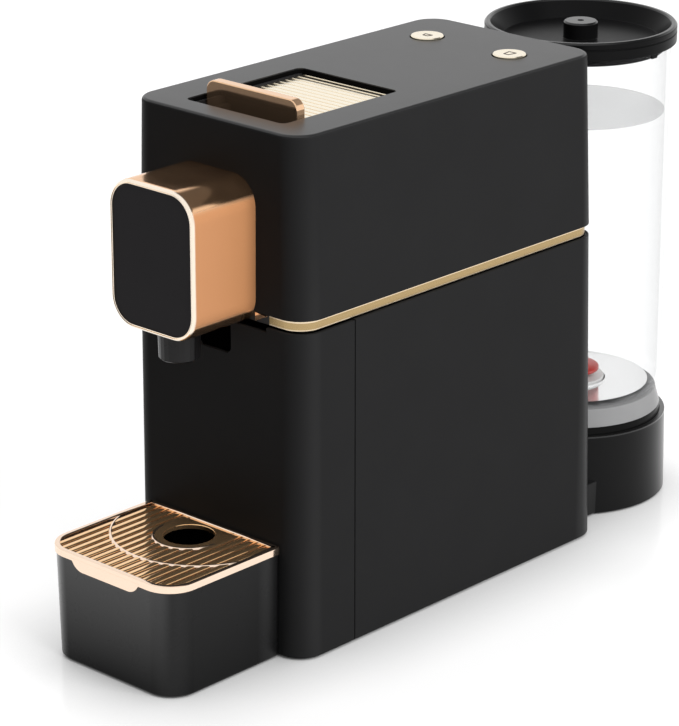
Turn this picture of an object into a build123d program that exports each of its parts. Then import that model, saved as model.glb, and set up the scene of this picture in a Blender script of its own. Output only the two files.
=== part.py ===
from build123d import *
import os
from math import cos, pi, sin, sqrt

# A slim capsule espresso machine. A drafted two-tier housing carries a chromed brew head over a drip
# tray. A ribbed cover slides over the capsule opening on top, the lower front pulls out as the drawer
# for used capsules, and a round water tank lifts off its seat behind.
# Millimetres, +Z up, front towards -Y. The pieces are drawn with the front wall at Y = 0 at the height
# of the gold band, and saved about the middle of the footprint, on the table.

# Fits
fit_gap = 0.1
slide_gap = 0.3
seam_gap = 0.6
cut_overrun = 1.0

# Housing
body_width = 110.0
body_length = 210.0
body_height = 249.7
corner_radius = 13.0
wall = 2.5
roof = 2.5
floor_gap = 0.9
upper_height = 84.9
groove_height = 5.8
groove_depth = 2.0
upper_side_draft = 1.9
upper_front_draft = 0.9
upper_rear_draft = 2.4
lower_front_draft = 0.8
lower_rear_draft = 5.5
top_edge_radius = 1.6
low_edge_radius = 1.2

# Gold band and the deck behind it
band_thickness = 1.2
band_break = 66.0
chute_width = 42.0
chute_front = 21.0
chute_length = 42.0
hose_hole_radius = 6.0

# Screws and the bosses that take them
screw_radius = 1.5
screw_length = 9.0
screw_head_radius = 2.9
screw_head_height = 1.6
screw_head_gap = 0.2
thread_gap = 0.05
boss_radius = 5.0
boss_inset = 7.0
boss_height = 16.0
boss_front = 32.0
boss_rear_inset = 24.0
column_rear_inset = 42.0

# Base plate and feet
base_thickness = 3.0
foot_radius = 7.0
foot_sink = 1.0
foot_inset_x = 17.0
foot_front = 50.0
foot_rear_inset = 15.0

# Capsule opening and sliding cover
opening_margin = 2.0
opening_length = 76.0
opening_front = 14.0
opening_radius = 1.8
opening_edge = 0.6
cover_margin = 0.5
cover_length = 66.5
cover_thickness = 2.3
cover_drop = 2.9
cover_travel = 48.0
cover_side_radius = 1.0
rib_pitch = 4.0
rib_width = 3.0
rib_height = 1.0
rib_margin = 3.0
handle_width = 57.0
handle_thickness = 5.0
handle_front = 25.5
handle_rise = 7.6
handle_corner = 5.0
handle_edge = 1.2
rail_lip = 3.0
rail_lip_thickness = 2.7
rail_web = 3.4
rail_front = 12.0

# Brew unit
brew_axis_rise = 33.2
brew_front = 10.0
brew_block = 8.0
brew_block_height = 56.0
brew_plate = 3.0
brew_length = 104.0
brew_tie = 8.0
brew_tie_height = 10.0
brew_foot_width = 9.0
brew_foot_thickness = 3.0
brew_foot_length = 16.0
piercer_inset = 1.0
piercer_thickness = 2.0
piercer_seat = 1.0
piercer_hole_radius = 1.2
piercer_hole_circle = 10.0
piercer_hole_count = 8
outlet_radius = 5.0
cup_side_gap = 4.0
cup_length = 34.0
cup_wall = 4.5
cup_taper = 3.0
cup_depth = 29.0
cup_inlet_radius = 0.9
carriage_thickness = 8.0
carriage_rim = 3.0
carriage_arm = 5.0
arm_gap = 2.6

# Brew head, spout and duct
head_width = 53.2
head_height = 69.5
head_drop = 7.4
head_reach = 38.5
head_corner = 14.0
head_wall = 2.0
head_ledge = 1.4
head_rim_radius = 0.9
face_inset = 0.6
face_thickness = 3.0
nozzle_radius = 9.7
nozzle_reach = 22.0
nozzle_drop = 14.9
nozzle_lip = 5.0
nozzle_lip_step = 0.3
nozzle_collar_radius = 10.7
nozzle_collar_height = 3.0
nozzle_bore = 1.9
nozzle_edge = 0.8
duct_width = 16.0
duct_height = 18.0
duct_neck_radius = 6.5
duct_bore = 2.4

# Buttons and control board
button_radius = 8.0
button_spacing = 52.0
button_y = 174.0
button_proud = 1.0
button_edge = 0.4
button_travel = 1.5
button_flange_radius = 10.0
button_flange_thickness = 2.4
button_stem_radius = 2.5
board_width = 76.0
board_length = 40.0
board_thickness = 1.6
board_drop = 13.0
post_radius = 3.0
post_inset = 4.0
board_screw_radius = 1.0
board_screw_length = 6.0
board_screw_head_radius = 2.0
board_screw_head_height = 1.2
switch_side = 6.0
switch_height = 3.2
switch_plunger_radius = 1.6
switch_plunger_height = 1.0
button_spring_radius = 6.0
button_spring_wire = 0.4
button_spring_turns = 4

# Thermoblock, pump and hoses
thermo_width = 56.0
thermo_length = 46.0
thermo_height = 30.0
thermo_edge = 4.0
thermo_gap = 5.0
thermo_foot_radius = 4.0
thermo_foot_inset = 8.0
thermo_rib = 3.0
thermo_rib_depth = 2.0
thermo_rib_count = 5
thermo_nipple = 3.5
pump_y = 178.0
pump_radius = 16.0
pump_lift = 5.0
pump_height_share = 0.56
pump_nose_radius = 7.0
pump_nose_length = 20.0
nipple_length = 8.0
mount_ring = 5.0
mount_height = 8.0
mount_lip = 2.0
bracket_thickness = 2.0
bracket_width = 48.0
bracket_foot_length = 22.0
hose_radius = 3.2
hose_bore = 1.8
hose_bend = 9.0
hose_slack = 14.0
hose_slack_bend = 8.0

# Capsule drawer
drawer_depth = 34.6
drawer_floor = 3.3
notch_width = 21.4
notch_gap = 1.6
notch_corner = 2.5
head_relief = 0.9
bin_wall = 1.8
bin_drop = 1.5
bin_side_gap = 0.5
bin_rear_corner = 8.0
bulkhead_y = 114.0
bin_rear_gap = 2.0
shelf_width = 56.0
shelf_length = 46.0
shelf_thickness = 2.2

# Drip tray and grid
tray_width = 82.8
tray_reach = 70.4
tray_corner = 14.0
tray_rear_corner = 1.5
tray_gap = 0.6
tray_draft = 0.8
tray_low_radius = 4.5
tray_wall = 2.2
tray_floor = 2.4
grid_top = 55.8
grid_overhang = 0.8
rim_height = 3.4
rim_width = 2.6
rim_edge = 0.8
slat_count = 16
slat_width = 3.0
slat_height = 2.2
drip_hole_radius = 12.0
drip_hole_reach = 18.0
plate_radius = 16.5
ring_width = 1.8
arc_radius = 42.0
arc_reach = 10.0
tab_width = 45.0
tab_drop = 4.2
tab_thickness = 1.2
tab_slope = 4.0
tab_corner = 1.6
locator_depth = 2.0
locator_width = 1.4

# Water tank, its seat and its lid
tank_radius = 45.8
tank_top_radius = 45.4
tank_gap = 0.7
tank_floor = 55.0
tank_top = 241.3
tank_wall = 2.2
tank_shoulder = 8.0
valve_hole_radius = 13.0
valve_ring_radius = 16.5
valve_ring_bore = 9.0
valve_ring_height = 2.2
poppet_radius = 13.8
poppet_edge = 1.2
poppet_crown = 2.2
poppet_lift = 3.0
stem_radius = 2.2
stem_foot_radius = 5.2
stem_foot_height = 1.6
valve_spring_radius = 4.0
valve_spring_wire = 0.35
valve_spring_turns = 4
seat_radius = 49.0
seat_top = 42.3
seat_deck = 39.0
seat_deck_thickness = 2.5
seat_wall = 2.6
seat_draft = 0.7
seat_edge = 0.8
seat_column_radius = 6.0
seat_column_inset = 8.0
seat_column_count = 3
seat_foot_radius = 4.5
neck_width = 80.0
neck_height = 18.5
neck_reach = 26.0
cup_foot_radius = 45.6
cup_foot_height = 6.0
cup_top_radius = 43.0
cup_plate = 2.0
spigot_radius = 8.6
spigot_bore = 6.6
spigot_drop = 11.0
web_hole_count = 6
web_hole_radius = 0.9
web_hole_circle = 5.4
socket_wall = 2.4
socket_floor = 2.0
socket_rise = 7.0
seal_bore = 4.6
seal_height = 2.0
pin_radius = 1.8
port_radius = 3.5
port_height = 12.0
drain_radius = 1.2
drain_offset = 3.1
lid_radius = 48.0
lid_top = 246.6
lid_skirt = 9.0
lid_rim = 2.6
lid_rim_edge = 1.0
lid_dish_depth = 8.5
lid_knee = 0.4
lid_floor = 2.2
lid_groove_drop = 3.2
lid_groove_width = 0.8
lid_groove_depth = 0.5
plug_depth = 8.0
plug_wall = 2.0
plug_gap = 1.0
gasket_height = 2.4
gasket_bite = 0.8
knob_radius = 8.6
knob_edge = 0.8
knob_dimple_radius = 1.6
knob_dimple_depth = 0.6

# Cord gland
gland_x = -31.0
gland_z = 95.0
gland_flange_radius = 7.0
gland_flange = 2.0
gland_sleeve_radius = 5.0
gland_sleeve_length = 6.0
gland_bore = 1.9

# Levels and places that follow from the sizes above
groove_bottom = body_height - upper_height - groove_height
upper_bottom = groove_bottom + groove_height
roof_under = body_height - roof
base_top = floor_gap + base_thickness
cover_plate_top = body_height - cover_drop - rib_height
cover_plate_bottom = cover_plate_top - cover_thickness
cover_width = handle_width + 2 * cover_margin
opening_width = cover_width + 2 * opening_margin
cover_front = handle_front + handle_thickness
cover_rear = cover_front + cover_length
rail_lip_top = cover_plate_bottom - slide_gap
rail_rear = cover_rear + cover_travel + slide_gap
rail_inner = cover_width / 2 + slide_gap
brew_axis_z = upper_bottom + brew_axis_rise
brew_clear_width = 2 * (rail_inner - rail_lip - arm_gap + slide_gap)
cup_radius = brew_clear_width / 2 - cup_side_gap
cup_mouth_radius = cup_radius - cup_wall
cup_floor_radius = cup_mouth_radius - cup_taper
piercer_radius = cup_radius - piercer_inset
carriage_height = 2 * (cup_radius + carriage_rim)
cup_front = brew_front + brew_block - piercer_seat + piercer_thickness + slide_gap
cup_rear = cup_front + cup_length
thermo_front = brew_front + brew_length + thermo_gap
thermo_axis_z = brew_axis_z
thermo_rear = thermo_front + thermo_length
pump_bottom = port_height + hose_bend + nipple_length + pump_lift
pump_top = pump_bottom + pump_height_share * (groove_bottom - pump_bottom)
pump_outlet = pump_top + pump_nose_length
nipple_radius = hose_bore - fit_gap
nozzle_y = -nozzle_reach
head_bottom = upper_bottom - head_drop
nozzle_bottom = head_bottom - nozzle_drop
sleeve_floor = head_bottom + head_wall
board_top = roof_under - board_drop
flange_top = roof_under - slide_gap
flange_bottom = flange_top - button_flange_thickness
switch_top = board_top + switch_height + switch_plunger_height
drawer_top = groove_bottom - slide_gap
drawer_floor_top = floor_gap + drawer_floor
notch_bottom = nozzle_bottom - notch_gap
bin_top = notch_bottom - bin_drop
bin_front = wall + fit_gap
bin_rear = bulkhead_y - bin_rear_gap
shelf_top = floor_gap + shelf_thickness
tray_rear = -lower_front_draft - slide_gap
tray_top = grid_top - rim_height - slide_gap
tray_deck = shelf_top + slide_gap + tray_floor
drip_hole_y = -drip_hole_reach
arc_y = -arc_reach
rear_at_tank = body_length + lower_rear_draft * (1 - tank_floor / groove_bottom)
tank_y = rear_at_tank + tank_gap + tank_radius
cup_bottom = seat_deck + slide_gap
spigot_bottom = tank_floor - cup_plate - spigot_drop
valve_ring_top = tank_floor + tank_wall + valve_ring_height
poppet_bottom = valve_ring_top + slide_gap + poppet_lift
stem_bottom = spigot_bottom + socket_floor
pin_top = stem_bottom - slide_gap
lid_shelf = tank_top + slide_gap
lid_dish_floor = lid_top - lid_dish_depth
mid_y = (tank_y + seat_radius - tray_reach - grid_overhang) / 2


def section(half_width, front, rear, z, radius):
    """Rounded rectangle lying at height z, about the plane of symmetry."""
    outline = RectangleRounded(2 * half_width, rear - front, radius)
    return Pos(0, (front + rear) / 2, z) * outline


def upper_section(z, inset):
    """Outline of the drafted upper housing at height z, drawn in by inset."""
    rise = (z - upper_bottom) / (body_height - upper_bottom)
    half_width = body_width / 2 - upper_side_draft * rise - inset
    front = upper_front_draft * rise + inset
    rear = body_length - upper_rear_draft * rise - inset
    return section(half_width, front, rear, z, corner_radius - inset)


def lower_section(z, inset):
    """Outline of the drafted lower casing at height z, drawn in by inset."""
    drop = 1 - z / groove_bottom
    front = inset - lower_front_draft * drop
    rear = body_length + lower_rear_draft * drop - inset
    return section(body_width / 2 - inset, front, rear, z, corner_radius - inset)


def lower_block():
    """The whole lower casing as one solid, before the drawer is parted from it."""
    block = loft([lower_section(floor_gap, 0), lower_section(groove_bottom, 0)], ruled=True)
    return fillet(block.faces().sort_by(Axis.Z)[0].edges(), low_edge_radius)


def lower_cavity(bottom):
    """The space inside the lower casing's walls, from a height up through its open top."""
    return loft([lower_section(bottom, wall), lower_section(groove_bottom, wall)], ruled=True)


def block(x0, x1, y0, y1, z0, z1):
    """Box between three pairs of planes."""
    return Pos((x0 + x1) / 2, (y0 + y1) / 2, (z0 + z1) / 2) * Box(x1 - x0, y1 - y0, z1 - z0)


def slab(y0, y1, z1=body_height):
    """Box across the whole housing between two planes of Y, for parting it."""
    return block(-body_width, body_width, y0, y1, -floor_gap, z1)


def post(x, y, z0, z1, radius):
    """Upright cylinder between two heights."""
    return Pos(x, y, (z0 + z1) / 2) * Cylinder(radius, z1 - z0)


def lying(x, y0, y1, z, radius):
    """Cylinder along Y between two places."""
    return Pos(x, (y0 + y1) / 2, z) * Rot(90, 0, 0) * Cylinder(radius, y1 - y0)


def turned(points, y):
    """Solid turned about an upright axis at y from an outline of (radius, height) points."""
    return Pos(0, y, 0) * revolve(Plane.XZ * make_face(Polyline(points, close=True)), Axis.Z)


def hose(points, bend):
    """Flexible tube along straight runs joined by tangent arcs."""
    path = FilletPolyline(points, radius=bend)
    ring = Circle(hose_radius) - Circle(hose_bore)
    return sweep(Plane(path @ 0, z_dir=path % 0) * ring, path=path)


def coil(radius, wire, low, high, turns):
    """Round-wire spring between two heights, each half turn swept along a pair of tangent arcs."""
    pitch = (high - low - 2 * wire) / turns
    run = 2 * pi * radius
    slant = sqrt(run ** 2 + pitch ** 2)

    def place(turn):
        angle = 2 * pi * turn
        return Vector(radius * cos(angle), radius * sin(angle), low + wire + pitch * turn)

    def heading(turn):
        angle = 2 * pi * turn
        return Vector(-sin(angle) * run, cos(angle) * run, pitch) / slant

    arcs = []
    for half in range(2 * turns):
        start, end = place(half / 2), place((half + 1) / 2)
        leave, arrive = heading(half / 2), heading((half + 1) / 2)
        span, lean = end - start, leave + arrive
        a, b, c = lean.dot(lean) - 4, -2 * span.dot(lean), span.dot(span)
        reach = (-b - sqrt(b ** 2 - 4 * a * c)) / (2 * a)
        near, far = start + leave * reach, end - arrive * reach
        middle = (near + far) / 2
        arcs.append(Edge.make_tangent_arc(start, leave, middle))
        arcs.append(Edge.make_tangent_arc(middle, far - near, end))
    return sweep(Plane(place(0), z_dir=heading(0)) * Circle(wire), path=Wire(arcs))


def screw(x, y, head_z, radius, length, head_radius, head_height):
    """Pan-head screw driven upwards, its head below head_z and its shank above."""
    shank = post(x, y, head_z, head_z + length, radius)
    return shank + post(x, y, head_z - head_height, head_z, head_radius)


def deck_bosses():
    """Places of the bosses that take the deck's screws."""
    x = body_width / 2 - boss_inset
    return [(side * x, y) for side in (-1, 1) for y in (boss_front, body_length - boss_rear_inset)]


def casing_columns():
    """Places of the columns between the base plate and the deck, which take screws at both ends."""
    x = body_width / 2 - boss_inset
    rows = (bulkhead_y + wall + 2 * boss_radius, body_length - column_rear_inset)
    return [(side * x, y) for side in (-1, 1) for y in rows]


def board_posts():
    """Places of the posts that the control board hangs from."""
    x = board_width / 2 - post_inset
    y = board_length / 2 - post_inset
    return [(i * x, button_y + j * y) for i in (-1, 1) for j in (-1, 1)]


def feet_places():
    """Places of the feet under the base plate."""
    x = body_width / 2 - foot_inset_x
    return [(side * x, y) for side in (-1, 1) for y in (foot_front, body_length - foot_rear_inset)]


def upper_housing():
    """Drafted top cover, open below, with the capsule opening, button holes, bosses and posts."""
    shell = loft([upper_section(upper_bottom, 0), upper_section(body_height, 0)], ruled=True)
    shell = fillet(shell.faces().sort_by(Axis.Z)[-1].edges(), top_edge_radius)
    shell -= loft([upper_section(upper_bottom, wall), upper_section(roof_under, wall)], ruled=True)
    for x, y in deck_bosses():
        shell += post(x, y, upper_bottom, upper_bottom + boss_height, boss_radius)
        shell -= post(x, y, upper_bottom, upper_bottom + screw_length, screw_radius + thread_gap)
    for x, y in board_posts():
        shell += post(x, y, board_top, roof_under, post_radius)
        shell -= post(x, y, board_top, board_top + board_screw_length, board_screw_radius + thread_gap)
    mouth = RectangleRounded(opening_width, opening_length, opening_radius)
    mouth = Pos(0, opening_front + opening_length / 2, roof_under - cut_overrun) * mouth
    shell -= extrude(mouth, roof + 2 * cut_overrun)
    rim = shell.faces().sort_by(Axis.Z)[-1].inner_wires().edges()
    shell = fillet(rim, opening_edge)
    for side in (-1, 1):
        x = side * button_spacing / 2
        shell -= post(x, button_y, roof_under - cut_overrun, body_height + cut_overrun,
                      button_radius + slide_gap)
    half = duct_width / 2 + fit_gap
    low, high = brew_axis_z - duct_height / 2 - fit_gap, brew_axis_z + duct_height / 2 + fit_gap
    return shell - block(-half, half, -cut_overrun, brew_front, low, high)


def mid_deck():
    """Plate between the casings, with the chute for used capsules and the hose hole."""
    inset = groove_depth + band_thickness + fit_gap
    plate = extrude(section(body_width / 2 - inset, inset, body_length - inset, groove_bottom,
                            corner_radius - inset), groove_height)
    plate -= block(-chute_width / 2, chute_width / 2, chute_front, chute_front + chute_length,
                   groove_bottom - cut_overrun, upper_bottom + cut_overrun)
    plate -= post(0, pump_y, groove_bottom - cut_overrun, upper_bottom + cut_overrun, hose_hole_radius)
    for x, y in deck_bosses():
        plate -= post(x, y, groove_bottom - cut_overrun, upper_bottom + cut_overrun,
                      screw_radius + fit_gap)
        plate -= post(x, y, groove_bottom - cut_overrun, groove_bottom + screw_head_height,
                      screw_head_radius + screw_head_gap)
    for x, y in casing_columns():
        plate -= post(x, y, groove_bottom - cut_overrun, upper_bottom + cut_overrun,
                      screw_radius + fit_gap)
        plate -= post(x, y, upper_bottom - screw_head_height, upper_bottom + cut_overrun,
                      screw_head_radius + screw_head_gap)
    return plate


def trim_band():
    """Gold strip round the groove, broken at the front where the brew head stands."""
    outer = section(body_width / 2 - groove_depth, groove_depth, body_length - groove_depth,
                    groove_bottom, corner_radius - groove_depth)
    inset = groove_depth + band_thickness
    inner = section(body_width / 2 - inset, inset, body_length - inset, groove_bottom,
                    corner_radius - inset)
    strip = extrude(outer - inner, groove_height)
    return strip - block(-band_break / 2, band_break / 2, 0, corner_radius,
                         groove_bottom - cut_overrun, upper_bottom + cut_overrun)


def lower_shell():
    """Rear casing behind the seam: side and rear walls, the bulkhead behind the drawer, bosses."""
    shell = lower_block() - lower_cavity(floor_gap)
    shell += lower_cavity(base_top) & slab(bulkhead_y, bulkhead_y + wall)
    shell &= slab(drawer_depth + seam_gap, body_length + neck_reach)
    for x, y in casing_columns():
        shell += post(x, y, base_top, groove_bottom, boss_radius)
        shell -= post(x, y, base_top, base_top + screw_length, screw_radius + thread_gap)
        shell -= post(x, y, groove_bottom - screw_length, groove_bottom, screw_radius + thread_gap)
    shell -= lying(0, body_length - wall - cut_overrun, tank_y, port_height, hose_radius + fit_gap)
    return shell - lying(gland_x, body_length - wall - cut_overrun, tank_y, gland_z,
                         gland_sleeve_radius + fit_gap)


def base_plate():
    """Bottom plate inside the rear casing, which the drawer also runs on."""
    inset = wall + fit_gap
    plate = loft([lower_section(floor_gap, inset), lower_section(base_top, inset)], ruled=True)
    plate &= slab(drawer_depth + seam_gap, body_length + neck_reach)
    for x, y in feet_places():
        plate -= post(x, y, floor_gap - cut_overrun, floor_gap + foot_sink, foot_radius + fit_gap)
    for x, y in casing_columns():
        plate -= post(x, y, floor_gap - cut_overrun, base_top + cut_overrun, screw_radius + fit_gap)
        plate -= post(x, y, floor_gap - cut_overrun, floor_gap + screw_head_height,
                      screw_head_radius + screw_head_gap)
    return plate


def seat_columns():
    """Places of the columns inside the tank seat, which its feet are set in."""
    reach = seat_radius - seat_column_inset
    turns = [index / seat_column_count for index in range(seat_column_count)]
    return [(reach * sin(2 * pi * turn), tank_y + reach * cos(2 * pi * turn)) for turn in turns]


def rubber_feet():
    """Round pads under the base plate and the tank seat."""
    pads = [post(x, y, 0, floor_gap + foot_sink, foot_radius) for x, y in feet_places()]
    pads += [post(x, y, 0, floor_gap + foot_sink, seat_foot_radius) for x, y in seat_columns()]
    return Part() + pads


def base_screws():
    """Screws up through the base plate into the casing."""
    head_z = floor_gap + screw_head_height
    return Part() + [screw(x, y, head_z, screw_radius, screw_length - screw_head_gap, screw_head_radius,
                           screw_head_height) for x, y in casing_columns()]


def deck_screws():
    """Screws up through the deck into the upper housing."""
    head_z = groove_bottom + screw_head_height
    return Part() + [screw(x, y, head_z, screw_radius, screw_length, screw_head_radius,
                           screw_head_height) for x, y in deck_bosses()]


def deck_ties():
    """Screws down through the deck into the columns of the lower casing."""
    head_z = upper_bottom - screw_head_height
    length = groove_height + screw_length - 2 * screw_head_height
    ties = []
    for x, y in casing_columns():
        shank = post(x, y, head_z - length, head_z, screw_radius)
        ties.append(shank + post(x, y, head_z, upper_bottom, screw_head_radius))
    return Part() + ties


def board_screws():
    """Small screws that hold the control board to its posts."""
    head_z = board_top - board_thickness
    return Part() + [screw(x, y, head_z, board_screw_radius, board_screw_length,
                           board_screw_head_radius, board_screw_head_height) for x, y in board_posts()]


def head_outline(inset):
    """Rounded outline of the brew head, seen from the front, drawn in by inset."""
    return RectangleRounded(head_width - 2 * inset, head_height - 2 * inset, head_corner - inset)


def head_layer(inset, y0, y1):
    """The head's outline carried along Y between two places."""
    middle = head_bottom + head_height / 2
    return extrude(Plane((0, y1, middle), x_dir=(1, 0, 0), z_dir=(0, -1, 0)) * head_outline(inset),
                   y1 - y0)


def head_sleeve():
    """Chromed sleeve of the brew head, with a rounded rim, a ledge for its face and a spout hole."""
    sleeve = head_layer(0, -head_reach, wall)
    sleeve = fillet(sleeve.faces().sort_by(Axis.Y)[0].edges(), head_rim_radius)
    ledge = face_inset + face_thickness
    sleeve -= head_layer(head_wall, -head_reach - cut_overrun, ledge - head_reach)
    sleeve -= head_layer(head_wall + head_ledge, -head_reach, wall + cut_overrun)
    sleeve -= loft([upper_section(upper_bottom, 0), upper_section(body_height, 0)], ruled=True)
    return sleeve - post(0, nozzle_y, head_bottom - cut_overrun, head_bottom + head_corner,
                         nozzle_radius + fit_gap)


def head_face():
    """Black panel set in the front of the sleeve."""
    front = face_inset - head_reach
    return head_layer(head_wall + fit_gap, front, front + face_thickness)


def spout_nozzle():
    """Spout under the head, hung by its collar on the floor of the sleeve."""
    shoulder = sleeve_floor + head_ledge
    points = [
        (nozzle_bore, nozzle_bottom),
        (nozzle_radius - nozzle_lip_step - nozzle_edge, nozzle_bottom),
        (nozzle_radius - nozzle_lip_step, nozzle_bottom + nozzle_edge),
        (nozzle_radius - nozzle_lip_step, nozzle_bottom + nozzle_lip),
        (nozzle_radius, nozzle_bottom + nozzle_lip + nozzle_lip_step),
        (nozzle_radius, shoulder),
        (nozzle_collar_radius, shoulder),
        (nozzle_collar_radius, shoulder + nozzle_collar_height),
        (nozzle_bore, shoulder + nozzle_collar_height),
    ]
    return turned(points, nozzle_y)


def outlet_duct():
    """Channel that leads the coffee from the brew unit forward through the wall and down to the spout."""
    half = duct_width / 2
    front = face_inset + face_thickness - head_reach
    low, high = brew_axis_z - duct_height / 2, brew_axis_z + duct_height / 2
    duct = block(-half, half, front, brew_front, low, high)
    foot = sleeve_floor + head_ledge + nozzle_collar_height
    duct += post(0, nozzle_y, foot, low + duct_bore, duct_neck_radius)
    duct -= post(0, nozzle_y, foot - cut_overrun, brew_axis_z, nozzle_bore)
    return duct - lying(0, nozzle_y - duct_bore, brew_front + cut_overrun, brew_axis_z, duct_bore)


def brew_frame():
    """Fixed frame of the brew unit: front block, two side plates, rear tie and feet on the deck."""
    half = brew_clear_width / 2
    rear = brew_front + brew_length
    low, high = brew_axis_z - brew_block_height / 2, brew_axis_z + brew_block_height / 2
    frame = block(-half, half, brew_front, brew_front + brew_block, low, high)
    frame += block(-half, half, rear - brew_tie, rear, upper_bottom, upper_bottom + brew_tie_height)
    for side in (-1, 1):
        inner, outer = sorted((side * half, side * (half + brew_plate)))
        frame += block(inner, outer, brew_front, rear, upper_bottom, high)
        foot_in, foot_out = sorted((side * half, side * (half + brew_plate + brew_foot_width)))
        for y in (brew_front, rear - brew_foot_length):
            frame += block(foot_in, foot_out, y, y + brew_foot_length, upper_bottom,
                           upper_bottom + brew_foot_thickness)
    back = brew_front + brew_block
    frame -= lying(0, back - piercer_seat, back + cut_overrun, brew_axis_z, piercer_radius + fit_gap)
    return frame - lying(0, brew_front - cut_overrun, back, brew_axis_z, outlet_radius)


def piercing_plate():
    """Perforated disc that opens the capsule's front."""
    front = brew_front + brew_block - piercer_seat
    plate = lying(0, front, front + piercer_thickness, brew_axis_z, piercer_radius)
    for index in range(piercer_hole_count):
        angle = 2 * pi * index / piercer_hole_count
        x = piercer_hole_circle * cos(angle)
        z = brew_axis_z + piercer_hole_circle * sin(angle)
        plate -= Pos(x, 0, z) * lying(0, front - cut_overrun, front + piercer_thickness + cut_overrun, 0,
                                      piercer_hole_radius)
    return plate


def brew_cup():
    """Cup that closes over the capsule, its mouth to the front and its water inlet behind."""
    points = [
        (cup_inlet_radius, cup_depth),
        (cup_floor_radius, cup_depth),
        (cup_mouth_radius, 0),
        (cup_radius, 0),
        (cup_radius, cup_length),
        (nipple_radius, cup_length),
        (nipple_radius, cup_length + nipple_length),
        (cup_inlet_radius, cup_length + nipple_length),
    ]
    profile = make_face(Polyline(points, close=True))
    return Pos(0, cup_front, brew_axis_z) * revolve(profile, Axis.Y)


def cup_carriage():
    """Crosshead round the cup, guided by the side plates, with two arms up to the cover."""
    half = brew_clear_width / 2 - slide_gap
    front, rear = cup_rear - carriage_thickness, cup_rear
    low, high = brew_axis_z - carriage_height / 2, brew_axis_z + carriage_height / 2
    carriage = block(-half, half, front, rear, low, high)
    for side in (-1, 1):
        inner, outer = sorted((side * (half - carriage_arm), side * half))
        carriage += block(inner, outer, front, rear, low, cover_plate_bottom)
    return carriage - lying(0, front - cut_overrun, rear + cut_overrun, brew_axis_z, cup_radius + fit_gap)


def cover_rails():
    """Pair of rails under the roof that the cover's edges run on."""
    rails = []
    for side in (-1, 1):
        lip_in, web_out = side * (rail_inner - rail_lip), side * (rail_inner + rail_web)
        low = rail_lip_top - rail_lip_thickness
        rail = block(*sorted((lip_in, web_out)), rail_front, rail_rear, low, rail_lip_top)
        rail += block(*sorted((side * rail_inner, web_out)), rail_front, rail_rear, low, roof_under)
        rails.append(rail)
    return Part() + rails


def slide_cover():
    """Ribbed cover plate that slides back under the roof."""
    half = cover_width / 2
    plate = block(-half, half, cover_front, cover_rear, cover_plate_bottom, cover_plate_top)
    plate = fillet(plate.edges().filter_by(Axis.Z), cover_side_radius)
    count = int((cover_length - 2 * rib_margin) / rib_pitch) + 1
    for index in range(count):
        y = cover_front + rib_margin + index * rib_pitch
        bar = Rectangle(rib_width, 2 * rib_height)
        bar = chamfer(bar.vertices().group_by(Axis.Y)[-1], rib_height / 2)
        plate += extrude(Plane((-half, y, cover_plate_top), x_dir=(0, 1, 0), z_dir=(1, 0, 0)) * bar,
                         cover_width)
    return plate


def cover_handle():
    """Upright plate at the front of the cover, for pushing it with a finger."""
    rise = body_height + handle_rise - cover_plate_bottom
    face = Rectangle(handle_width, rise)
    face = fillet(face.vertices().group_by(Axis.Y)[-1], handle_corner)
    middle = cover_plate_bottom + rise / 2
    plane = Plane((0, cover_front, middle), x_dir=(1, 0, 0), z_dir=(0, -1, 0))
    plate = extrude(plane * face, handle_thickness)
    rims = plate.faces().filter_by(Axis.Y).edges().filter_by(lambda edge: edge.center().Z > middle)
    upright = plate.edges().filter_by(Axis.Z).group_by(Axis.Y)[0]
    return fillet(set(rims) | set(upright), handle_edge)


def button_cap(side):
    """Push button: a disc proud of the roof, a flange that stops it and a stem over its switch."""
    x = side * button_spacing / 2
    top = body_height + button_proud
    disc = post(x, button_y, flange_bottom, top, button_radius)
    disc = fillet(disc.faces().sort_by(Axis.Z)[-1].edges(), button_edge)
    disc += post(x, button_y, flange_bottom, flange_top, button_flange_radius)
    return disc + post(x, button_y, switch_top + button_travel + fit_gap, flange_bottom,
                       button_stem_radius)


def button_spring(side):
    """Coil spring between the board and the button's flange."""
    spring = coil(button_spring_radius, button_spring_wire, board_top, flange_bottom,
                  button_spring_turns)
    return Pos(side * button_spacing / 2, button_y, 0) * spring


def control_board():
    """Circuit board hung under the roof."""
    board = block(-board_width / 2, board_width / 2, button_y - board_length / 2,
                  button_y + board_length / 2, board_top - board_thickness, board_top)
    for x, y in board_posts():
        board -= post(x, y, board_top - board_thickness - cut_overrun, board_top + cut_overrun,
                      board_screw_radius + fit_gap)
    return board


def button_switches():
    """The two small switches on the board, under the button stems."""
    half = switch_side / 2
    switches = []
    for side in (-1, 1):
        x = side * button_spacing / 2
        body = block(x - half, x + half, button_y - half, button_y + half, board_top,
                     board_top + switch_height)
        switches.append(body + post(x, button_y, board_top, switch_top, switch_plunger_radius))
    return Part() + switches


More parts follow.
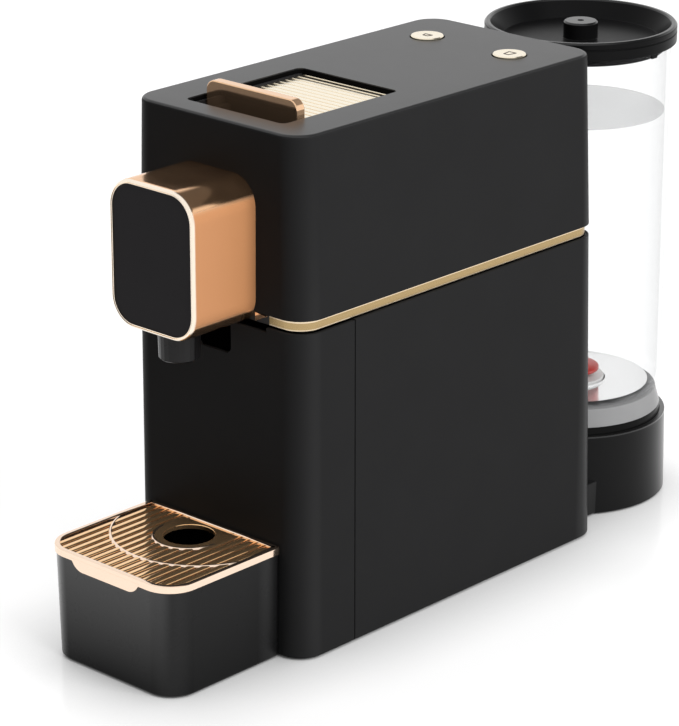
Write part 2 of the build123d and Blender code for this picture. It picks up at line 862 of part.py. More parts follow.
def thermoblock():
    """Cast heating block with ribbed sides, on four feet."""
    half = thermo_width / 2
    top = thermo_axis_z + thermo_height / 2
    low = thermo_axis_z - thermo_height / 2
    body = block(-half, half, thermo_front, thermo_rear, low, top)
    body = fillet(body.edges().filter_by(Axis.Z), thermo_edge)
    pitch = (thermo_length - 2 * thermo_edge) / thermo_rib_count
    for index in range(thermo_rib_count):
        y = thermo_front + thermo_edge + (index + 0.5) * pitch
        for side in (-1, 1):
            inner, outer = sorted((side * (half - thermo_rib_depth), side * (half + cut_overrun)))
            body -= block(inner, outer, y - thermo_rib / 2, y + thermo_rib / 2, low - cut_overrun,
                          top + cut_overrun)
    for i in (-1, 1):
        for y in (thermo_front + thermo_foot_inset, thermo_rear - thermo_foot_inset):
            body += post(i * (half - thermo_foot_inset), y, upper_bottom, low, thermo_foot_radius)
    return body + lying(0, thermo_front - thermo_nipple, thermo_rear + thermo_nipple, thermo_axis_z,
                        nipple_radius)


def pump():
    """Vibration pump, standing upright: inlet nipple below, nose and outlet nipple above."""
    points = [
        (0, pump_bottom - nipple_length),
        (nipple_radius, pump_bottom - nipple_length),
        (nipple_radius, pump_bottom),
        (pump_radius, pump_bottom),
        (pump_radius, pump_top),
        (pump_nose_radius, pump_top),
        (pump_nose_radius, pump_outlet),
        (nipple_radius, pump_outlet),
        (nipple_radius, pump_outlet + nipple_length),
        (0, pump_outlet + nipple_length),
    ]
    return turned(points, pump_y)


def pump_mounts():
    """Rubber rings at both ends of the pump, which sit on the bracket's shelves."""
    rings = []
    for low in (pump_bottom, pump_top - mount_height):
        ring = post(0, pump_y, low, low + mount_height, pump_radius + mount_ring)
        rings.append(ring - post(0, pump_y, low, low + mount_height, pump_radius + fit_gap))
    return Part() + rings


def pump_bracket():
    """Sheet-steel bracket with two shelves, standing on the base plate."""
    half = bracket_width / 2
    front = pump_y - pump_radius - mount_ring - mount_lip - bracket_thickness
    rear = pump_y + pump_radius
    bracket = block(-half, half, front, front + bracket_thickness, base_top, pump_top)
    bracket += block(-half, half, front - bracket_foot_length, front + bracket_thickness, base_top,
                     base_top + bracket_thickness)
    for mount_low in (pump_bottom, pump_top - mount_height):
        shelf = block(-half, half, front, rear, mount_low - bracket_thickness, mount_low)
        bracket += shelf - post(0, pump_y, mount_low - bracket_thickness - cut_overrun,
                                mount_low + cut_overrun, pump_radius + fit_gap)
    return bracket


def suction_hose():
    """Hose from the tank's coupling, through the neck and the rear wall, up to the pump."""
    start = (0, tank_y - spigot_radius - socket_wall, port_height)
    return hose([start, (0, pump_y, port_height), (0, pump_y, pump_bottom)], hose_bend)


def pressure_hose():
    """Hose from the pump, up through the deck and into the back of the thermoblock."""
    return hose([(0, pump_y, pump_outlet), (0, pump_y, thermo_axis_z), (0, thermo_rear, thermo_axis_z)],
                hose_bend)


def brew_hose():
    """Slack hose from the thermoblock to the moving brew cup."""
    start = cup_rear
    step = (thermo_front - start) / 4
    points = [(0, start, thermo_axis_z), (0, start + step, thermo_axis_z),
              (hose_slack, start + 2 * step, thermo_axis_z), (0, thermo_front - step, thermo_axis_z),
              (0, thermo_front, thermo_axis_z)]
    return hose(points, hose_slack_bend)


def drawer_front():
    """Pull-out front casing with its floor, the spout notch and the shelf that carries the drip tray."""
    casing = lower_block() & slab(-corner_radius, drawer_depth, drawer_top)
    casing -= lower_cavity(drawer_floor_top)
    relief = head_bottom - head_relief
    casing -= block(-band_break / 2, band_break / 2, -corner_radius, corner_radius, relief, groove_bottom)
    notch = Rectangle(notch_width, relief - notch_bottom + cut_overrun)
    notch = fillet(notch.vertices().group_by(Axis.Y)[0], notch_corner)
    middle = (notch_bottom + relief + cut_overrun) / 2
    plane = Plane((0, -corner_radius, middle), x_dir=(1, 0, 0), z_dir=(0, -1, 0))
    casing -= extrude(plane * notch, -2 * corner_radius)
    half = shelf_width / 2
    return casing + block(-half, half, -shelf_length, wall, floor_gap, shelf_top)


def bin_outline(inset):
    """Outline of the capsule bin, rounded in front to the casing's corners, drawn in by inset."""
    half = body_width / 2 - wall - bin_side_gap - inset
    front, rear = bin_front + inset, bin_rear - inset
    outline = Pos(0, (front + rear) / 2, 0) * Rectangle(2 * half, rear - front)
    outline = fillet(outline.vertices().group_by(Axis.Y)[0], corner_radius - wall - inset)
    return fillet(outline.vertices().group_by(Axis.Y)[-1], bin_rear_corner - inset)


def capsule_bin():
    """Open box for used capsules behind the drawer front."""
    bin_box = extrude(Pos(0, 0, drawer_floor_top) * bin_outline(0), bin_top - drawer_floor_top)
    hollow = extrude(Pos(0, 0, drawer_floor_top + bin_wall) * bin_outline(bin_wall), bin_top)
    return bin_box - hollow


def tray_outline(inset, z):
    """Outline of the drip tray, rounded in front, square behind, drawn in by inset, at height z."""
    half = tray_width / 2 - inset
    front = inset - tray_reach
    rear = tray_rear - max(inset, 0)
    outline = Pos(0, (front + rear) / 2, 0) * Rectangle(2 * half, rear - front)
    outline = fillet(outline.vertices().group_by(Axis.Y)[0], tray_corner - inset)
    return Pos(0, 0, z) * fillet(outline.vertices().group_by(Axis.Y)[-1], tray_rear_corner)


def tab_outline(grow):
    """Finger tab of the grid seen from the front: a shallow tongue with sloping ends."""
    top = tab_width / 2 + grow
    low = top - tab_slope
    drop = tab_drop + grow
    outline = make_face(Polyline([(-top, 0), (-low, -drop), (low, -drop), (top, 0)], close=True))
    return fillet(outline.vertices().group_by(Axis.Y)[0], tab_corner)


def tab_solid(grow, y0, y1):
    """The tab's outline hung from the underside of the grid's rim, between two places of Y."""
    plane = Plane((0, y1, grid_top - rim_height), x_dir=(1, 0, 0), z_dir=(0, -1, 0))
    return extrude(plane * tab_outline(grow), y1 - y0)


def drip_tray():
    """Open tray, drafted and rounded below, with a tunnel underneath for the drawer's shelf."""
    tray = loft([tray_outline(tray_draft, tray_gap), tray_outline(0, tray_top)], ruled=True)
    low_edges = tray.faces().sort_by(Axis.Z)[0].edges().sort_by(Axis.Y)[:-1]
    tray = fillet(low_edges, tray_low_radius)
    hollow = [tray_outline(tray_wall + tray_draft, tray_deck), tray_outline(tray_wall, tray_top)]
    tray -= loft(hollow, ruled=True)
    half = shelf_width / 2 + slide_gap
    tray -= block(-half, half, -shelf_length - slide_gap, 0, -tray_gap, shelf_top + slide_gap)
    front = -tray_reach - grid_overhang
    return tray - tab_solid(slide_gap, front, front + tab_thickness + slide_gap)


def drip_grid():
    """Chromed grid: rim, slats along Y, solid plate behind the drip hole, arcs and finger tab."""
    rim_outline = tray_outline(-grid_overhang, 0)
    inside = tray_outline(rim_width - grid_overhang, 0)
    half = tray_width / 2 + grid_overhang - rim_width
    pitch = 2 * half / (slat_count + 1)
    slots = Sketch()
    for index in range(slat_count + 1):
        x = -half + (index + 0.5) * pitch
        slots += Pos(x, -tray_reach / 2) * Rectangle(pitch - slat_width, 2 * tray_reach)
    arc = Circle(arc_radius + ring_width / 2) - Circle(arc_radius - ring_width / 2)
    slots -= Pos(0, arc_y) * arc
    plate = Circle(plate_radius) + Pos(0, drip_hole_reach / 2) * Rectangle(2 * plate_radius,
                                                                          drip_hole_reach)
    slots -= Pos(0, drip_hole_y) * plate
    face = (inside - (slots & inside)) - Pos(0, drip_hole_y) * Circle(drip_hole_radius)
    grid = extrude(Pos(0, 0, grid_top - rim_edge - slat_height) * face, slat_height)
    rim = extrude(Pos(0, 0, grid_top - rim_height) * (rim_outline - inside), rim_height)
    grid += fillet(rim.faces().sort_by(Axis.Z)[-1].outer_wire().edges(), rim_edge)
    locator_out = tray_outline(tray_wall + slide_gap, 0)
    locator = locator_out - tray_outline(tray_wall + slide_gap + locator_width, 0)
    locator_low = grid_top - rim_height - locator_depth
    grid += extrude(Pos(0, 0, locator_low) * locator, grid_top - rim_edge - locator_low)
    front = -tray_reach - grid_overhang
    return grid + tab_solid(0, front, front + tab_thickness)


def tank_seat():
    """Round base that the tank stands on, with its socket, the neck to the housing and columns."""
    inner = seat_radius - seat_wall
    deck_under = seat_deck - seat_deck_thickness
    socket = spigot_radius + slide_gap + socket_wall
    socket_bottom = spigot_bottom - slide_gap - seal_height
    points = [
        (0, deck_under),
        (inner, deck_under),
        (inner, floor_gap),
        (seat_radius, floor_gap),
        (seat_radius - seat_draft, seat_top - seat_edge),
        (seat_radius - seat_draft - seat_edge, seat_top),
        (inner - seat_draft, seat_top),
        (inner - seat_draft, seat_deck),
        (socket, seat_deck),
        (socket, seat_deck + socket_rise),
        (spigot_radius + slide_gap, seat_deck + socket_rise),
        (spigot_radius + slide_gap, socket_bottom),
        (0, socket_bottom),
    ]
    seat = turned(points, tank_y)
    half = neck_width / 2
    neck = block(-half, half, body_length, body_length + neck_reach, floor_gap, neck_height)
    seat += neck - post(0, tank_y, 0, seat_top, seat_radius - seat_wall)
    for x, y in seat_columns():
        seat += post(x, y, floor_gap, deck_under, seat_column_radius)
        seat -= post(x, y, 0, floor_gap + foot_sink, seat_foot_radius + fit_gap)
    seat += post(0, tank_y, port_height - port_radius - socket_floor, deck_under, spigot_radius + socket_wall)
    seat -= lower_block()
    seat -= lying(0, body_length, tank_y, port_height, hose_radius + fit_gap)
    return seat - post(0, tank_y - drain_offset, port_height, socket_bottom, drain_radius)


def coupling_seal():
    """Rubber ring at the bottom of the seat's socket."""
    low = spigot_bottom - slide_gap - seal_height
    ring = post(0, tank_y, low, low + seal_height, spigot_radius)
    return ring - post(0, tank_y, low - cut_overrun, low + seal_height + cut_overrun, seal_bore)


def coupling_pin():
    """Pin on the socket's floor that lifts the tank's valve."""
    return post(0, tank_y, spigot_bottom - slide_gap - seal_height, pin_top, pin_radius)


def tank_shell():
    """Clear tapered tube with a rounded shoulder, a floor and a hole for the valve."""
    inner_low = tank_radius - tank_wall
    points = [
        (valve_hole_radius, tank_floor),
        (tank_radius, tank_floor),
        (tank_top_radius, tank_top),
        (tank_top_radius - tank_wall, tank_top),
        (inner_low, tank_floor + tank_wall),
        (valve_hole_radius, tank_floor + tank_wall),
    ]
    profile = make_face(Polyline(points, close=True))
    low_corners = profile.vertices().sort_by(Axis.Y)[:4].sort_by(Axis.X)[2:].sort_by(Axis.X)
    profile = fillet(low_corners[1], tank_shoulder)
    inner_corner = profile.vertices().sort_by_distance(Vertex(inner_low, tank_floor + tank_wall, 0))[0]
    profile = fillet(inner_corner, tank_shoulder - tank_wall)
    return Pos(0, tank_y, 0) * revolve(Plane.XZ * profile, Axis.Z)


def tank_cup():
    """Grey foot of the tank: flared ring, plate under the tube, outlet spigot and web round the stem."""
    plate_under = tank_floor - cup_plate
    points = [
        (spigot_bore, spigot_bottom),
        (spigot_radius, spigot_bottom),
        (spigot_radius, plate_under),
        (cup_top_radius - tank_wall, plate_under),
        (cup_foot_radius - tank_wall, cup_bottom + cup_foot_height),
        (cup_foot_radius - tank_wall, cup_bottom),
        (cup_foot_radius, cup_bottom),
        (cup_foot_radius, cup_bottom + cup_foot_height),
        (cup_top_radius, tank_floor),
        (stem_radius + slide_gap, tank_floor),
        (stem_radius + slide_gap, plate_under),
        (spigot_bore, plate_under),
    ]
    cup = turned(points, tank_y)
    for index in range(web_hole_count):
        angle = 2 * pi * index / web_hole_count
        x, y = web_hole_circle * cos(angle), tank_y + web_hole_circle * sin(angle)
        cup -= post(x, y, plate_under - cut_overrun, tank_floor + cut_overrun, web_hole_radius)
    return cup


def valve_seat():
    """White ring in the tank's floor that the poppet closes on."""
    points = [
        (valve_ring_bore, tank_floor),
        (valve_hole_radius - fit_gap, tank_floor),
        (valve_hole_radius - fit_gap, tank_floor + tank_wall),
        (valve_ring_radius, tank_floor + tank_wall),
        (valve_ring_radius, valve_ring_top),
        (valve_ring_bore, valve_ring_top),
    ]
    return turned(points, tank_y)


def valve_poppet():
    """Red domed poppet with its stem, held open by the coupling pin."""
    edge = poppet_bottom + poppet_edge
    radius = (poppet_radius ** 2 + poppet_crown ** 2) / (2 * poppet_crown)
    profile = make_face([
        Polyline((poppet_radius, edge), (poppet_radius, poppet_bottom), (stem_radius, poppet_bottom),
                 (stem_radius, stem_bottom + stem_foot_height),
                 (stem_foot_radius, stem_bottom + stem_foot_height), (stem_foot_radius, stem_bottom),
                 (0, stem_bottom), (0, edge + poppet_crown)),
        RadiusArc((0, edge + poppet_crown), (poppet_radius, edge), radius),
    ])
    return Pos(0, tank_y, 0) * revolve(Plane.XZ * profile, Axis.Z)


def valve_spring():
    """Coil spring that pushes the poppet's foot down from the plate over it."""
    low = stem_bottom + stem_foot_height
    spring = coil(valve_spring_radius, valve_spring_wire, low, tank_floor - cup_plate, valve_spring_turns)
    return Pos(0, tank_y, 0) * spring


def tank_lid():
    """Dished lid with a knob, a skirt outside the tube and a plug with a gasket groove inside it."""
    plug = tank_top_radius - tank_wall - plug_gap
    skirt_inner = tank_top_radius + slide_gap
    dish = lid_radius - lid_rim
    floor_under = lid_dish_floor - lid_floor
    groove_top = lid_top - lid_groove_drop
    gasket_low = lid_shelf - plug_depth + gasket_height
    bite = plug - gasket_bite
    points = [
        (0, floor_under),
        (plug - plug_wall, floor_under),
        (plug - plug_wall, lid_shelf - plug_depth),
        (plug, lid_shelf - plug_depth),
        (plug, gasket_low),
        (bite, gasket_low),
        (bite, gasket_low + gasket_height),
        (plug, gasket_low + gasket_height),
        (plug, lid_shelf),
        (skirt_inner, lid_shelf),
        (skirt_inner, lid_top - lid_skirt),
        (lid_radius, lid_top - lid_skirt),
        (lid_radius, groove_top - lid_groove_width),
        (lid_radius - lid_groove_depth, groove_top - lid_groove_width),
        (lid_radius - lid_groove_depth, groove_top),
        (lid_radius, groove_top),
        (lid_radius, lid_top - lid_rim_edge),
        (lid_radius - lid_rim_edge, lid_top),
        (dish, lid_top),
        (plug - plug_wall, lid_shelf + lid_knee),
        (plug - plug_wall, lid_dish_floor),
        (knob_radius, lid_dish_floor),
        (knob_radius, lid_top - knob_edge),
        (knob_radius - knob_edge, lid_top),
        (knob_dimple_radius, lid_top),
        (knob_dimple_radius, lid_top - knob_dimple_depth),
        (0, lid_top - knob_dimple_depth),
    ]
    return turned(points, tank_y)


def lid_gasket():
    """Rubber ring in the plug's groove, just inside the tube."""
    low = lid_shelf - plug_depth + gasket_height
    bore = tank_top_radius - tank_wall - plug_gap - gasket_bite + fit_gap
    points = [
        (bore, low + fit_gap),
        (tank_top_radius - tank_wall - slide_gap, low + fit_gap),
        (tank_top_radius - tank_wall - slide_gap, low + gasket_height - fit_gap),
        (bore, low + gasket_height - fit_gap),
    ]
    return turned(points, tank_y)


def cord_gland():
    """Flanged bush in the rear wall where the mains lead enters."""
    rear = body_length + lower_rear_draft * (1 - gland_z / groove_bottom)
    gland = lying(gland_x, rear, rear + gland_flange, gland_z, gland_flange_radius)
    gland += lying(gland_x, rear - gland_sleeve_length, rear, gland_z, gland_sleeve_radius)
    gland -= lying(gland_x, rear - gland_sleeve_length - cut_overrun, rear + gland_flange + cut_overrun,
                   gland_z, gland_bore)
    return gland - (lower_block() - lying(gland_x, body_length - corner_radius, tank_y, gland_z,
                                          gland_sleeve_radius + fit_gap))


pieces = {
    "upper_housing": upper_housing(),
    "trim_band": trim_band(),
    "mid_deck": mid_deck(),
    "lower_shell": lower_shell(),
    "base_plate": base_plate(),
    "rubber_feet": rubber_feet(),
    "base_screws": base_screws(),
    "deck_screws": deck_screws(),
    "deck_ties": deck_ties(),
    "head_sleeve": head_sleeve(),
    "head_face": head_face(),
    "spout_nozzle": spout_nozzle(),
    "outlet_duct": outlet_duct(),
    "brew_frame": brew_frame(),
    "piercing_plate": piercing_plate(),
    "brew_cup": brew_cup(),
    "cup_carriage": cup_carriage(),
    "cover_rails": cover_rails(),
    "slide_cover": slide_cover(),
    "cover_handle": cover_handle(),
    "button_left": button_cap(-1),
    "button_right": button_cap(1),
    "button_spring_left": button_spring(-1),
    "button_spring_right": button_spring(1),
    "control_board": control_board(),
    "button_switches": button_switches(),
    "board_screws": board_screws(),
    "thermoblock": thermoblock(),
    "pump": pump(),
    "pump_mounts": pump_mounts(),
    "pump_bracket": pump_bracket(),
    "suction_hose": suction_hose(),
    "pressure_hose": pressure_hose(),
    "brew_hose": brew_hose(),
    "drawer_front": drawer_front(),
    "capsule_bin": capsule_bin(),
    "drip_tray": drip_tray(),
    "drip_grid": drip_grid(),
    "tank_seat": tank_seat(),
    "coupling_seal": coupling_seal(),
    "coupling_pin": coupling_pin(),
    "tank_shell": tank_shell(),
    "tank_cup": tank_cup(),
    "valve_seat": valve_seat(),
    "valve_poppet": valve_poppet(),
    "valve_spring": valve_spring(),
    "tank_lid": tank_lid(),
    "lid_gasket": lid_gasket(),
    "cord_gland": cord_gland(),
}

os.makedirs("parts", exist_ok=True)
for name, shape in pieces.items():
    export_step(Pos(0, -mid_y, 0) * shape, f"parts/{name}.step")
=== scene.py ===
from math import asin, atan2, cos, pi, radians, sin, sqrt

import bmesh
import bpy
from mathutils import Matrix, Vector


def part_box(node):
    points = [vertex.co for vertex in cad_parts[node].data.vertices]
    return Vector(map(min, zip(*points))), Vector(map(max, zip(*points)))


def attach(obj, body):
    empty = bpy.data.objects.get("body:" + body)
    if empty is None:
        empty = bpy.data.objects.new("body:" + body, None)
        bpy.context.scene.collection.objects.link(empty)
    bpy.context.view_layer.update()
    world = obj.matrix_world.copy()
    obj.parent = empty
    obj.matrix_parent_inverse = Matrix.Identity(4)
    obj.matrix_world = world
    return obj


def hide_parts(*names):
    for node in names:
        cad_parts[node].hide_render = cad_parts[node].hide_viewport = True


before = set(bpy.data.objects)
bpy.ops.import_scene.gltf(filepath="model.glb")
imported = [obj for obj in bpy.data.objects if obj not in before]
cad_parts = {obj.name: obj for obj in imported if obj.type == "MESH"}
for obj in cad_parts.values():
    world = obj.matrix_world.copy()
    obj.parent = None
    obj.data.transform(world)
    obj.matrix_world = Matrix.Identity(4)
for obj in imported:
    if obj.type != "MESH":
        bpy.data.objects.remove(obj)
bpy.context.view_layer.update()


# Upper housing
# One deep moulding in matte black plastic, drafted a little towards the top, with rounded upright
# corners. The capsule opening and two button holes are cut through its roof, a thin near-black sheet
# inside the opening stands in as painted shade on its walls, and the rim stands on the gold band.
class Shade:
    """A value in a material's nodes. Sums on values add Math nodes to the tree."""

    def __init__(self, tree, socket=None):
        self.tree = tree
        self.socket = socket

    def node(self, kind, settings=None, sockets=None, output=0):
        """Add a shader node of any type, with its settings and its sockets' values or links."""
        made = self.tree.nodes.new("ShaderNode" + kind)
        for name, value in (settings or {}).items():
            setattr(made, name, value)
        for name, value in (sockets or {}).items():
            if isinstance(value, Shade):
                self.tree.links.new(value.socket, made.inputs[name])
            else:
                made.inputs[name].default_value = value
        return Shade(self.tree, made.outputs[output])

    def other(self, output):
        """Another output of the node that gives this value."""
        return Shade(self.tree, self.socket.node.outputs[output])

    def math(self, operation, first, second):
        """One Math node."""
        return self.node("Math", {"operation": operation}, {0: first, 1: second})

    def at_least(self, other):
        """The larger of two values."""
        return self.math("MAXIMUM", self, other)

    def __abs__(self):
        return self.math("ABSOLUTE", self, 0.0)

    def __add__(self, other):
        return self.math("ADD", self, other)

    def __sub__(self, other):
        return self.math("SUBTRACT", self, other)

    def __rsub__(self, other):
        return self.math("SUBTRACT", other, self)

    def __mul__(self, other):
        return self.math("MULTIPLY", self, other)

    def __truediv__(self, other):
        return self.math("DIVIDE", self, other)

    def __pow__(self, other):
        return self.math("POWER", self, other)

    def __gt__(self, other):
        return self.math("GREATER_THAN", self, other)

    def __lt__(self, other):
        return self.math("LESS_THAN", self, other)

    __radd__ = __add__
    __rmul__ = __mul__


def new_finish(name):
    """An empty material, with its node tree as a Shade and its output node."""
    material = bpy.data.materials.new(name)
    material.use_nodes = True
    material.node_tree.nodes.clear()
    output = material.node_tree.nodes.new("ShaderNodeOutputMaterial")
    return material, Shade(material.node_tree), output


def surface(material, shade, output, sockets):
    """Close a material with one Principled surface."""
    shader = shade.node("BsdfPrincipled", None, sockets)
    material.node_tree.links.new(shader.socket, output.inputs["Surface"])
    return material


def grain(shade, place, size, detail=2.0):
    """Noise of a given grain size in metres, from 0 to 1."""
    return shade.node("TexNoise", None,
                      {"Vector": place, "Scale": 1 / size, "Detail": detail, "Roughness": 0.6})


def axes(shade, place):
    """The x of a place, with its y and z as other outputs."""
    return shade.node("SeparateXYZ", None, {"Vector": place})


def blend(shade, share, first, second):
    """A colour between two, each of them plain or itself a blend."""
    tones = [(*tone, 1) if isinstance(tone, tuple) else tone for tone in (first, second)]
    return shade.node("Mix", {"data_type": "RGBA"},
                      {"Factor": share, 6: tones[0], 7: tones[1]}, output=2)


def rubbed_places(shade, place, low, high, radius=0.01, corner_gloss=0.0, lean=1, roof_gloss=0.0):
    """Gloss from handling a box: on its upright corners, leaning to the sides, and on its roof."""
    roof_depth = 0.0008
    across = axes(shade, place)
    middle_y = (low.y + high.y) / 2
    past_side = (abs(across) - (high.x - radius)) / radius
    past_end = (abs(across.other("Y") - middle_y) - (high.y - middle_y - radius)) / radius
    most = (lean / (lean + 1)) ** (lean / 2) * (lean + 1) ** -0.5
    corner_share = past_side.at_least(0.0) ** lean * past_end.at_least(0.0)
    on_roof = across.other("Z") > high.z - roof_depth
    return corner_share * (corner_gloss / most) + on_roof * roof_gloss


def moulded(name, dark, light, rough, gloss, spark=0.00035, depth=0.00002, rubbed=None, rim_gloss=0,
            gripped=None):
    """Moulded plastic: faint cloudiness, a spark-eroded grain, handling sheen and rubbed places."""
    cloud_size, sheen_size, sheen_spread = 0.03, 0.012, 0.06
    material, shade, output = new_finish(name)
    place = shade.node("TexCoord", output="Object")
    tone = blend(shade, grain(shade, place, cloud_size), dark, light)
    fine = grain(shade, place, spark, 1.0)
    bump = shade.node("Bump", None, {"Height": fine, "Distance": depth, "Strength": 0.5})
    sheen = rough + (grain(shade, place, sheen_size) - 0.5) * sheen_spread
    sockets = {"Base Color": tone, "Roughness": sheen, "Normal": bump, "Specular IOR Level": gloss}
    if rubbed:
        coat = rubbed_places(shade, place, **rubbed)
        if rim_gloss:
            slant = shade.node("LayerWeight", None, {"Blend": 0.5}, output=1)
            coat = coat + slant * slant * rim_gloss
        if gripped:
            coat = coat + gripped_places(shade, place, **gripped)
        sockets["Coat Weight"] = coat
        sockets["Coat Roughness"] = 0.3
    return surface(material, shade, output, sockets)


def drafted_box(lower, upper):
    """A box between two level rectangles, each given as half width, front, rear and height."""
    bm = bmesh.new()
    bmesh.ops.create_cube(bm, size=2)
    for vert in bm.verts:
        half, front, rear, height = upper if vert.co.z > 0 else lower
        vert.co = (half * vert.co.x, rear if vert.co.y > 0 else front, height)
    return bm


def upright_edges(bm, least=0.0015):
    """Edges that run from the bottom of a box to its top."""
    return [edge for edge in bm.edges if abs(edge.verts[0].co.z - edge.verts[1].co.z) > least]


def level_edges(bm, height):
    """Edges that lie at one height."""
    return [edge for edge in bm.edges if all(abs(vert.co.z - height) < 1e-5 for vert in edge.verts)]


def faces_by_height(bm):
    """All faces, from the lowest to the highest."""
    return sorted(bm.faces, key=lambda face: face.calc_center_median().z)


def round_edges(bm, edges, radius, segments):
    """Round edges off to a radius."""
    bmesh.ops.bevel(bm, geom=edges, offset=radius, offset_type="OFFSET", segments=segments, profile=0.5,
                    affect="EDGES", clamp_overlap=True, material=-1)


def rounded_face(corners, radii, segments):
    """A flat face through corner points, each corner rounded by its own radius."""
    bm = bmesh.new()
    bm.faces.new([bm.verts.new(corner) for corner in corners])
    for corner, radius in zip(corners, radii):
        nearest = min(bm.verts, key=lambda vert: (vert.co - Vector(corner)).length)
        bmesh.ops.bevel(bm, geom=[nearest], offset=radius, offset_type="OFFSET", segments=segments,
                        profile=0.5, affect="VERTICES", material=-1)
    return bm


def level_corners(half, front, rear, height):
    """Corners of a level rectangle, front pair first."""
    return [(-half, front, height), (half, front, height), (half, rear, height), (-half, rear, height)]


def level_circle(x, y, height, radius, segments):
    """A level round face."""
    bm = bmesh.new()
    bmesh.ops.create_circle(bm, segments=segments, radius=radius, cap_ends=True)
    bmesh.ops.translate(bm, verts=bm.verts, vec=(x, y, height))
    return bm


def join(bm, other):
    """Add another shape to bm and free it."""
    loose = bpy.data.meshes.new("loose")
    other.to_mesh(loose)
    other.free()
    bm.from_mesh(loose)
    bpy.data.meshes.remove(loose)


def add_loop(bm, other):
    """Add another shape's outline to bm, without its faces, and return the new edges."""
    bmesh.ops.delete(other, geom=other.faces[:], context="FACES_ONLY")
    known = set(bm.edges)
    join(bm, other)
    return [edge for edge in bm.edges if edge not in known]


def drop_face(bm, face):
    """Take one face out and keep its edges."""
    bmesh.ops.delete(bm, geom=[face], context="FACES_ONLY")


def extrude_by(bm, geom, vec):
    """Draw faces or edges out along a vector."""
    if isinstance(geom[0], bmesh.types.BMFace):
        drawn = bmesh.ops.extrude_face_region(bm, geom=geom)
    else:
        drawn = bmesh.ops.extrude_edge_only(bm, edges=geom)
    bmesh.ops.translate(bm, vec=vec, verts=[part for part in drawn["geom"]
                                            if isinstance(part, bmesh.types.BMVert)])


def piece(name, bm, material, body, stands_for=(), wall=0, edge=0, segments=2, sharp=30):
    """Make a bmesh a finished object that rides on a body: its wall, its soft edges and its shading."""
    bmesh.ops.remove_doubles(bm, verts=bm.verts, dist=1e-6)
    bmesh.ops.recalc_face_normals(bm, faces=bm.faces)
    for face in bm.faces:
        face.smooth = True
    for line in bm.edges:
        line.smooth = line.calc_face_angle(0) < radians(sharp)
    mesh = bpy.data.meshes.new(name)
    bm.to_mesh(mesh)
    bm.free()
    mesh.materials.append(material)
    made = bpy.data.objects.new(name, mesh)
    bpy.context.collection.objects.link(made)
    if wall:
        thick = made.modifiers.new("wall", "SOLIDIFY")
        thick.thickness = wall
        thick.offset = -1
        thick.use_even_offset = True
    if edge:
        soft = made.modifiers.new("edge", "BEVEL")
        soft.width = edge
        soft.segments = segments
        soft.limit_method = "ANGLE"
        soft.angle_limit = radians(40)
    flat = made.modifiers.new("flat", "WEIGHTED_NORMAL")
    flat.keep_sharp = True
    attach(made, body)
    if stands_for:
        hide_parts(*stands_for)
    return made


upper_low, upper_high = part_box("upper_housing")
body_half = upper_high.x
front_wall = upper_low.y
rear_wall = upper_high.y
corner = 0.013
corner_steps = 20
edge_steps = 4
skin = 0.0025
side_draft = 0.0019
front_draft = 0.0009
rear_draft = 0.0024
roof_edge = 0.0018
opening_half = 0.031
opening_corner = 0.0032
opening_steps = 8
opening_front = front_wall + 0.014
opening_rear = opening_front + 0.076
button_low, button_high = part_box("button_right")
button_x = (button_low.x + button_high.x) / 2
button_y = (button_low.y + button_high.y) / 2
button_hole = 0.0086
hole_steps = 64
margin = 0.0015
black = moulded("matte_black", (0.0215, 0.0215, 0.022), (0.0245, 0.0245, 0.025), rough=0.4, gloss=0.02,
                rubbed=dict(low=upper_low, high=upper_high, radius=corner, corner_gloss=0.15, lean=8,
                            roof_gloss=0.66))

housing = drafted_box(
    (body_half, front_wall, rear_wall, upper_low.z),
    (body_half - side_draft, front_wall + front_draft, rear_wall - rear_draft, upper_high.z))
round_edges(housing, upright_edges(housing), corner, corner_steps)
round_edges(housing, level_edges(housing, upper_high.z), roof_edge, edge_steps)
levels = faces_by_height(housing)
floor_face, roof_face = levels[0], levels[-1]
roof_edges = list(roof_face.edges)
drop_face(housing, floor_face)
drop_face(housing, roof_face)
mouth = rounded_face(
    level_corners(opening_half + margin, opening_front - margin, opening_rear + margin, upper_high.z),
    [opening_corner + margin] * 4, opening_steps)
rims = [add_loop(housing, mouth)]
for side in (-1, 1):
    hole = level_circle(side * button_x, button_y, upper_high.z, button_hole + margin, hole_steps)
    rims.append(add_loop(housing, hole))
bmesh.ops.triangle_fill(housing, use_beauty=True, use_dissolve=False, edges=roof_edges + sum(rims, []))
for rim in rims:
    cover_face = bmesh.ops.contextual_create(housing, geom=rim)["faces"]
    bmesh.ops.inset_region(housing, faces=cover_face, thickness=margin, use_boundary=True,
                           use_even_offset=True)
    drop_face(housing, cover_face[0])
piece("housing_top", housing, black, "machine", ["upper_housing"], wall=skin,
      edge=0.0005)

# A near-black sheet set inside the opening's walls: painted shade, where the walls lie in shadow.
shadow_sheet_black = moulded("shadow_sheet_black", (0.003, 0.003, 0.003), (0.004, 0.004, 0.004), rough=0.6, gloss=0.02)
shadow_sheet_gap = 0.00005
shadow_sheet_drop = 0.0006
shadow_sheet = rounded_face(
    level_corners(opening_half - shadow_sheet_gap, opening_front + shadow_sheet_gap, opening_rear - shadow_sheet_gap,
                  upper_high.z - skin),
    [opening_corner] * 4, opening_steps)
drop_face(shadow_sheet, shadow_sheet.faces[:][0])
extrude_by(shadow_sheet, shadow_sheet.edges[:], (0, 0, skin - shadow_sheet_drop))
piece("opening_shadow_sheet", shadow_sheet, shadow_sheet_black, "machine", wall=0.0003)


# Lower casing
# Two mouldings in the same black plastic, parted by an upright seam: the rear shell with its bulkhead,
# and the front of the capsule drawer, cut low under the brew head and notched for the spout.
lower_low, lower_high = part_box("lower_shell")
drawer_low, drawer_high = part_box("drawer_front")
groove_bottom = lower_high.z
lower_front_draft = 0.0008
lower_rear_draft = 0.0055
low_edge = 0.0012
seam_front = front_wall + 0.0346
seam_rear = lower_low.y
casing_wall = 0.0018
plate_edge = 0.0004


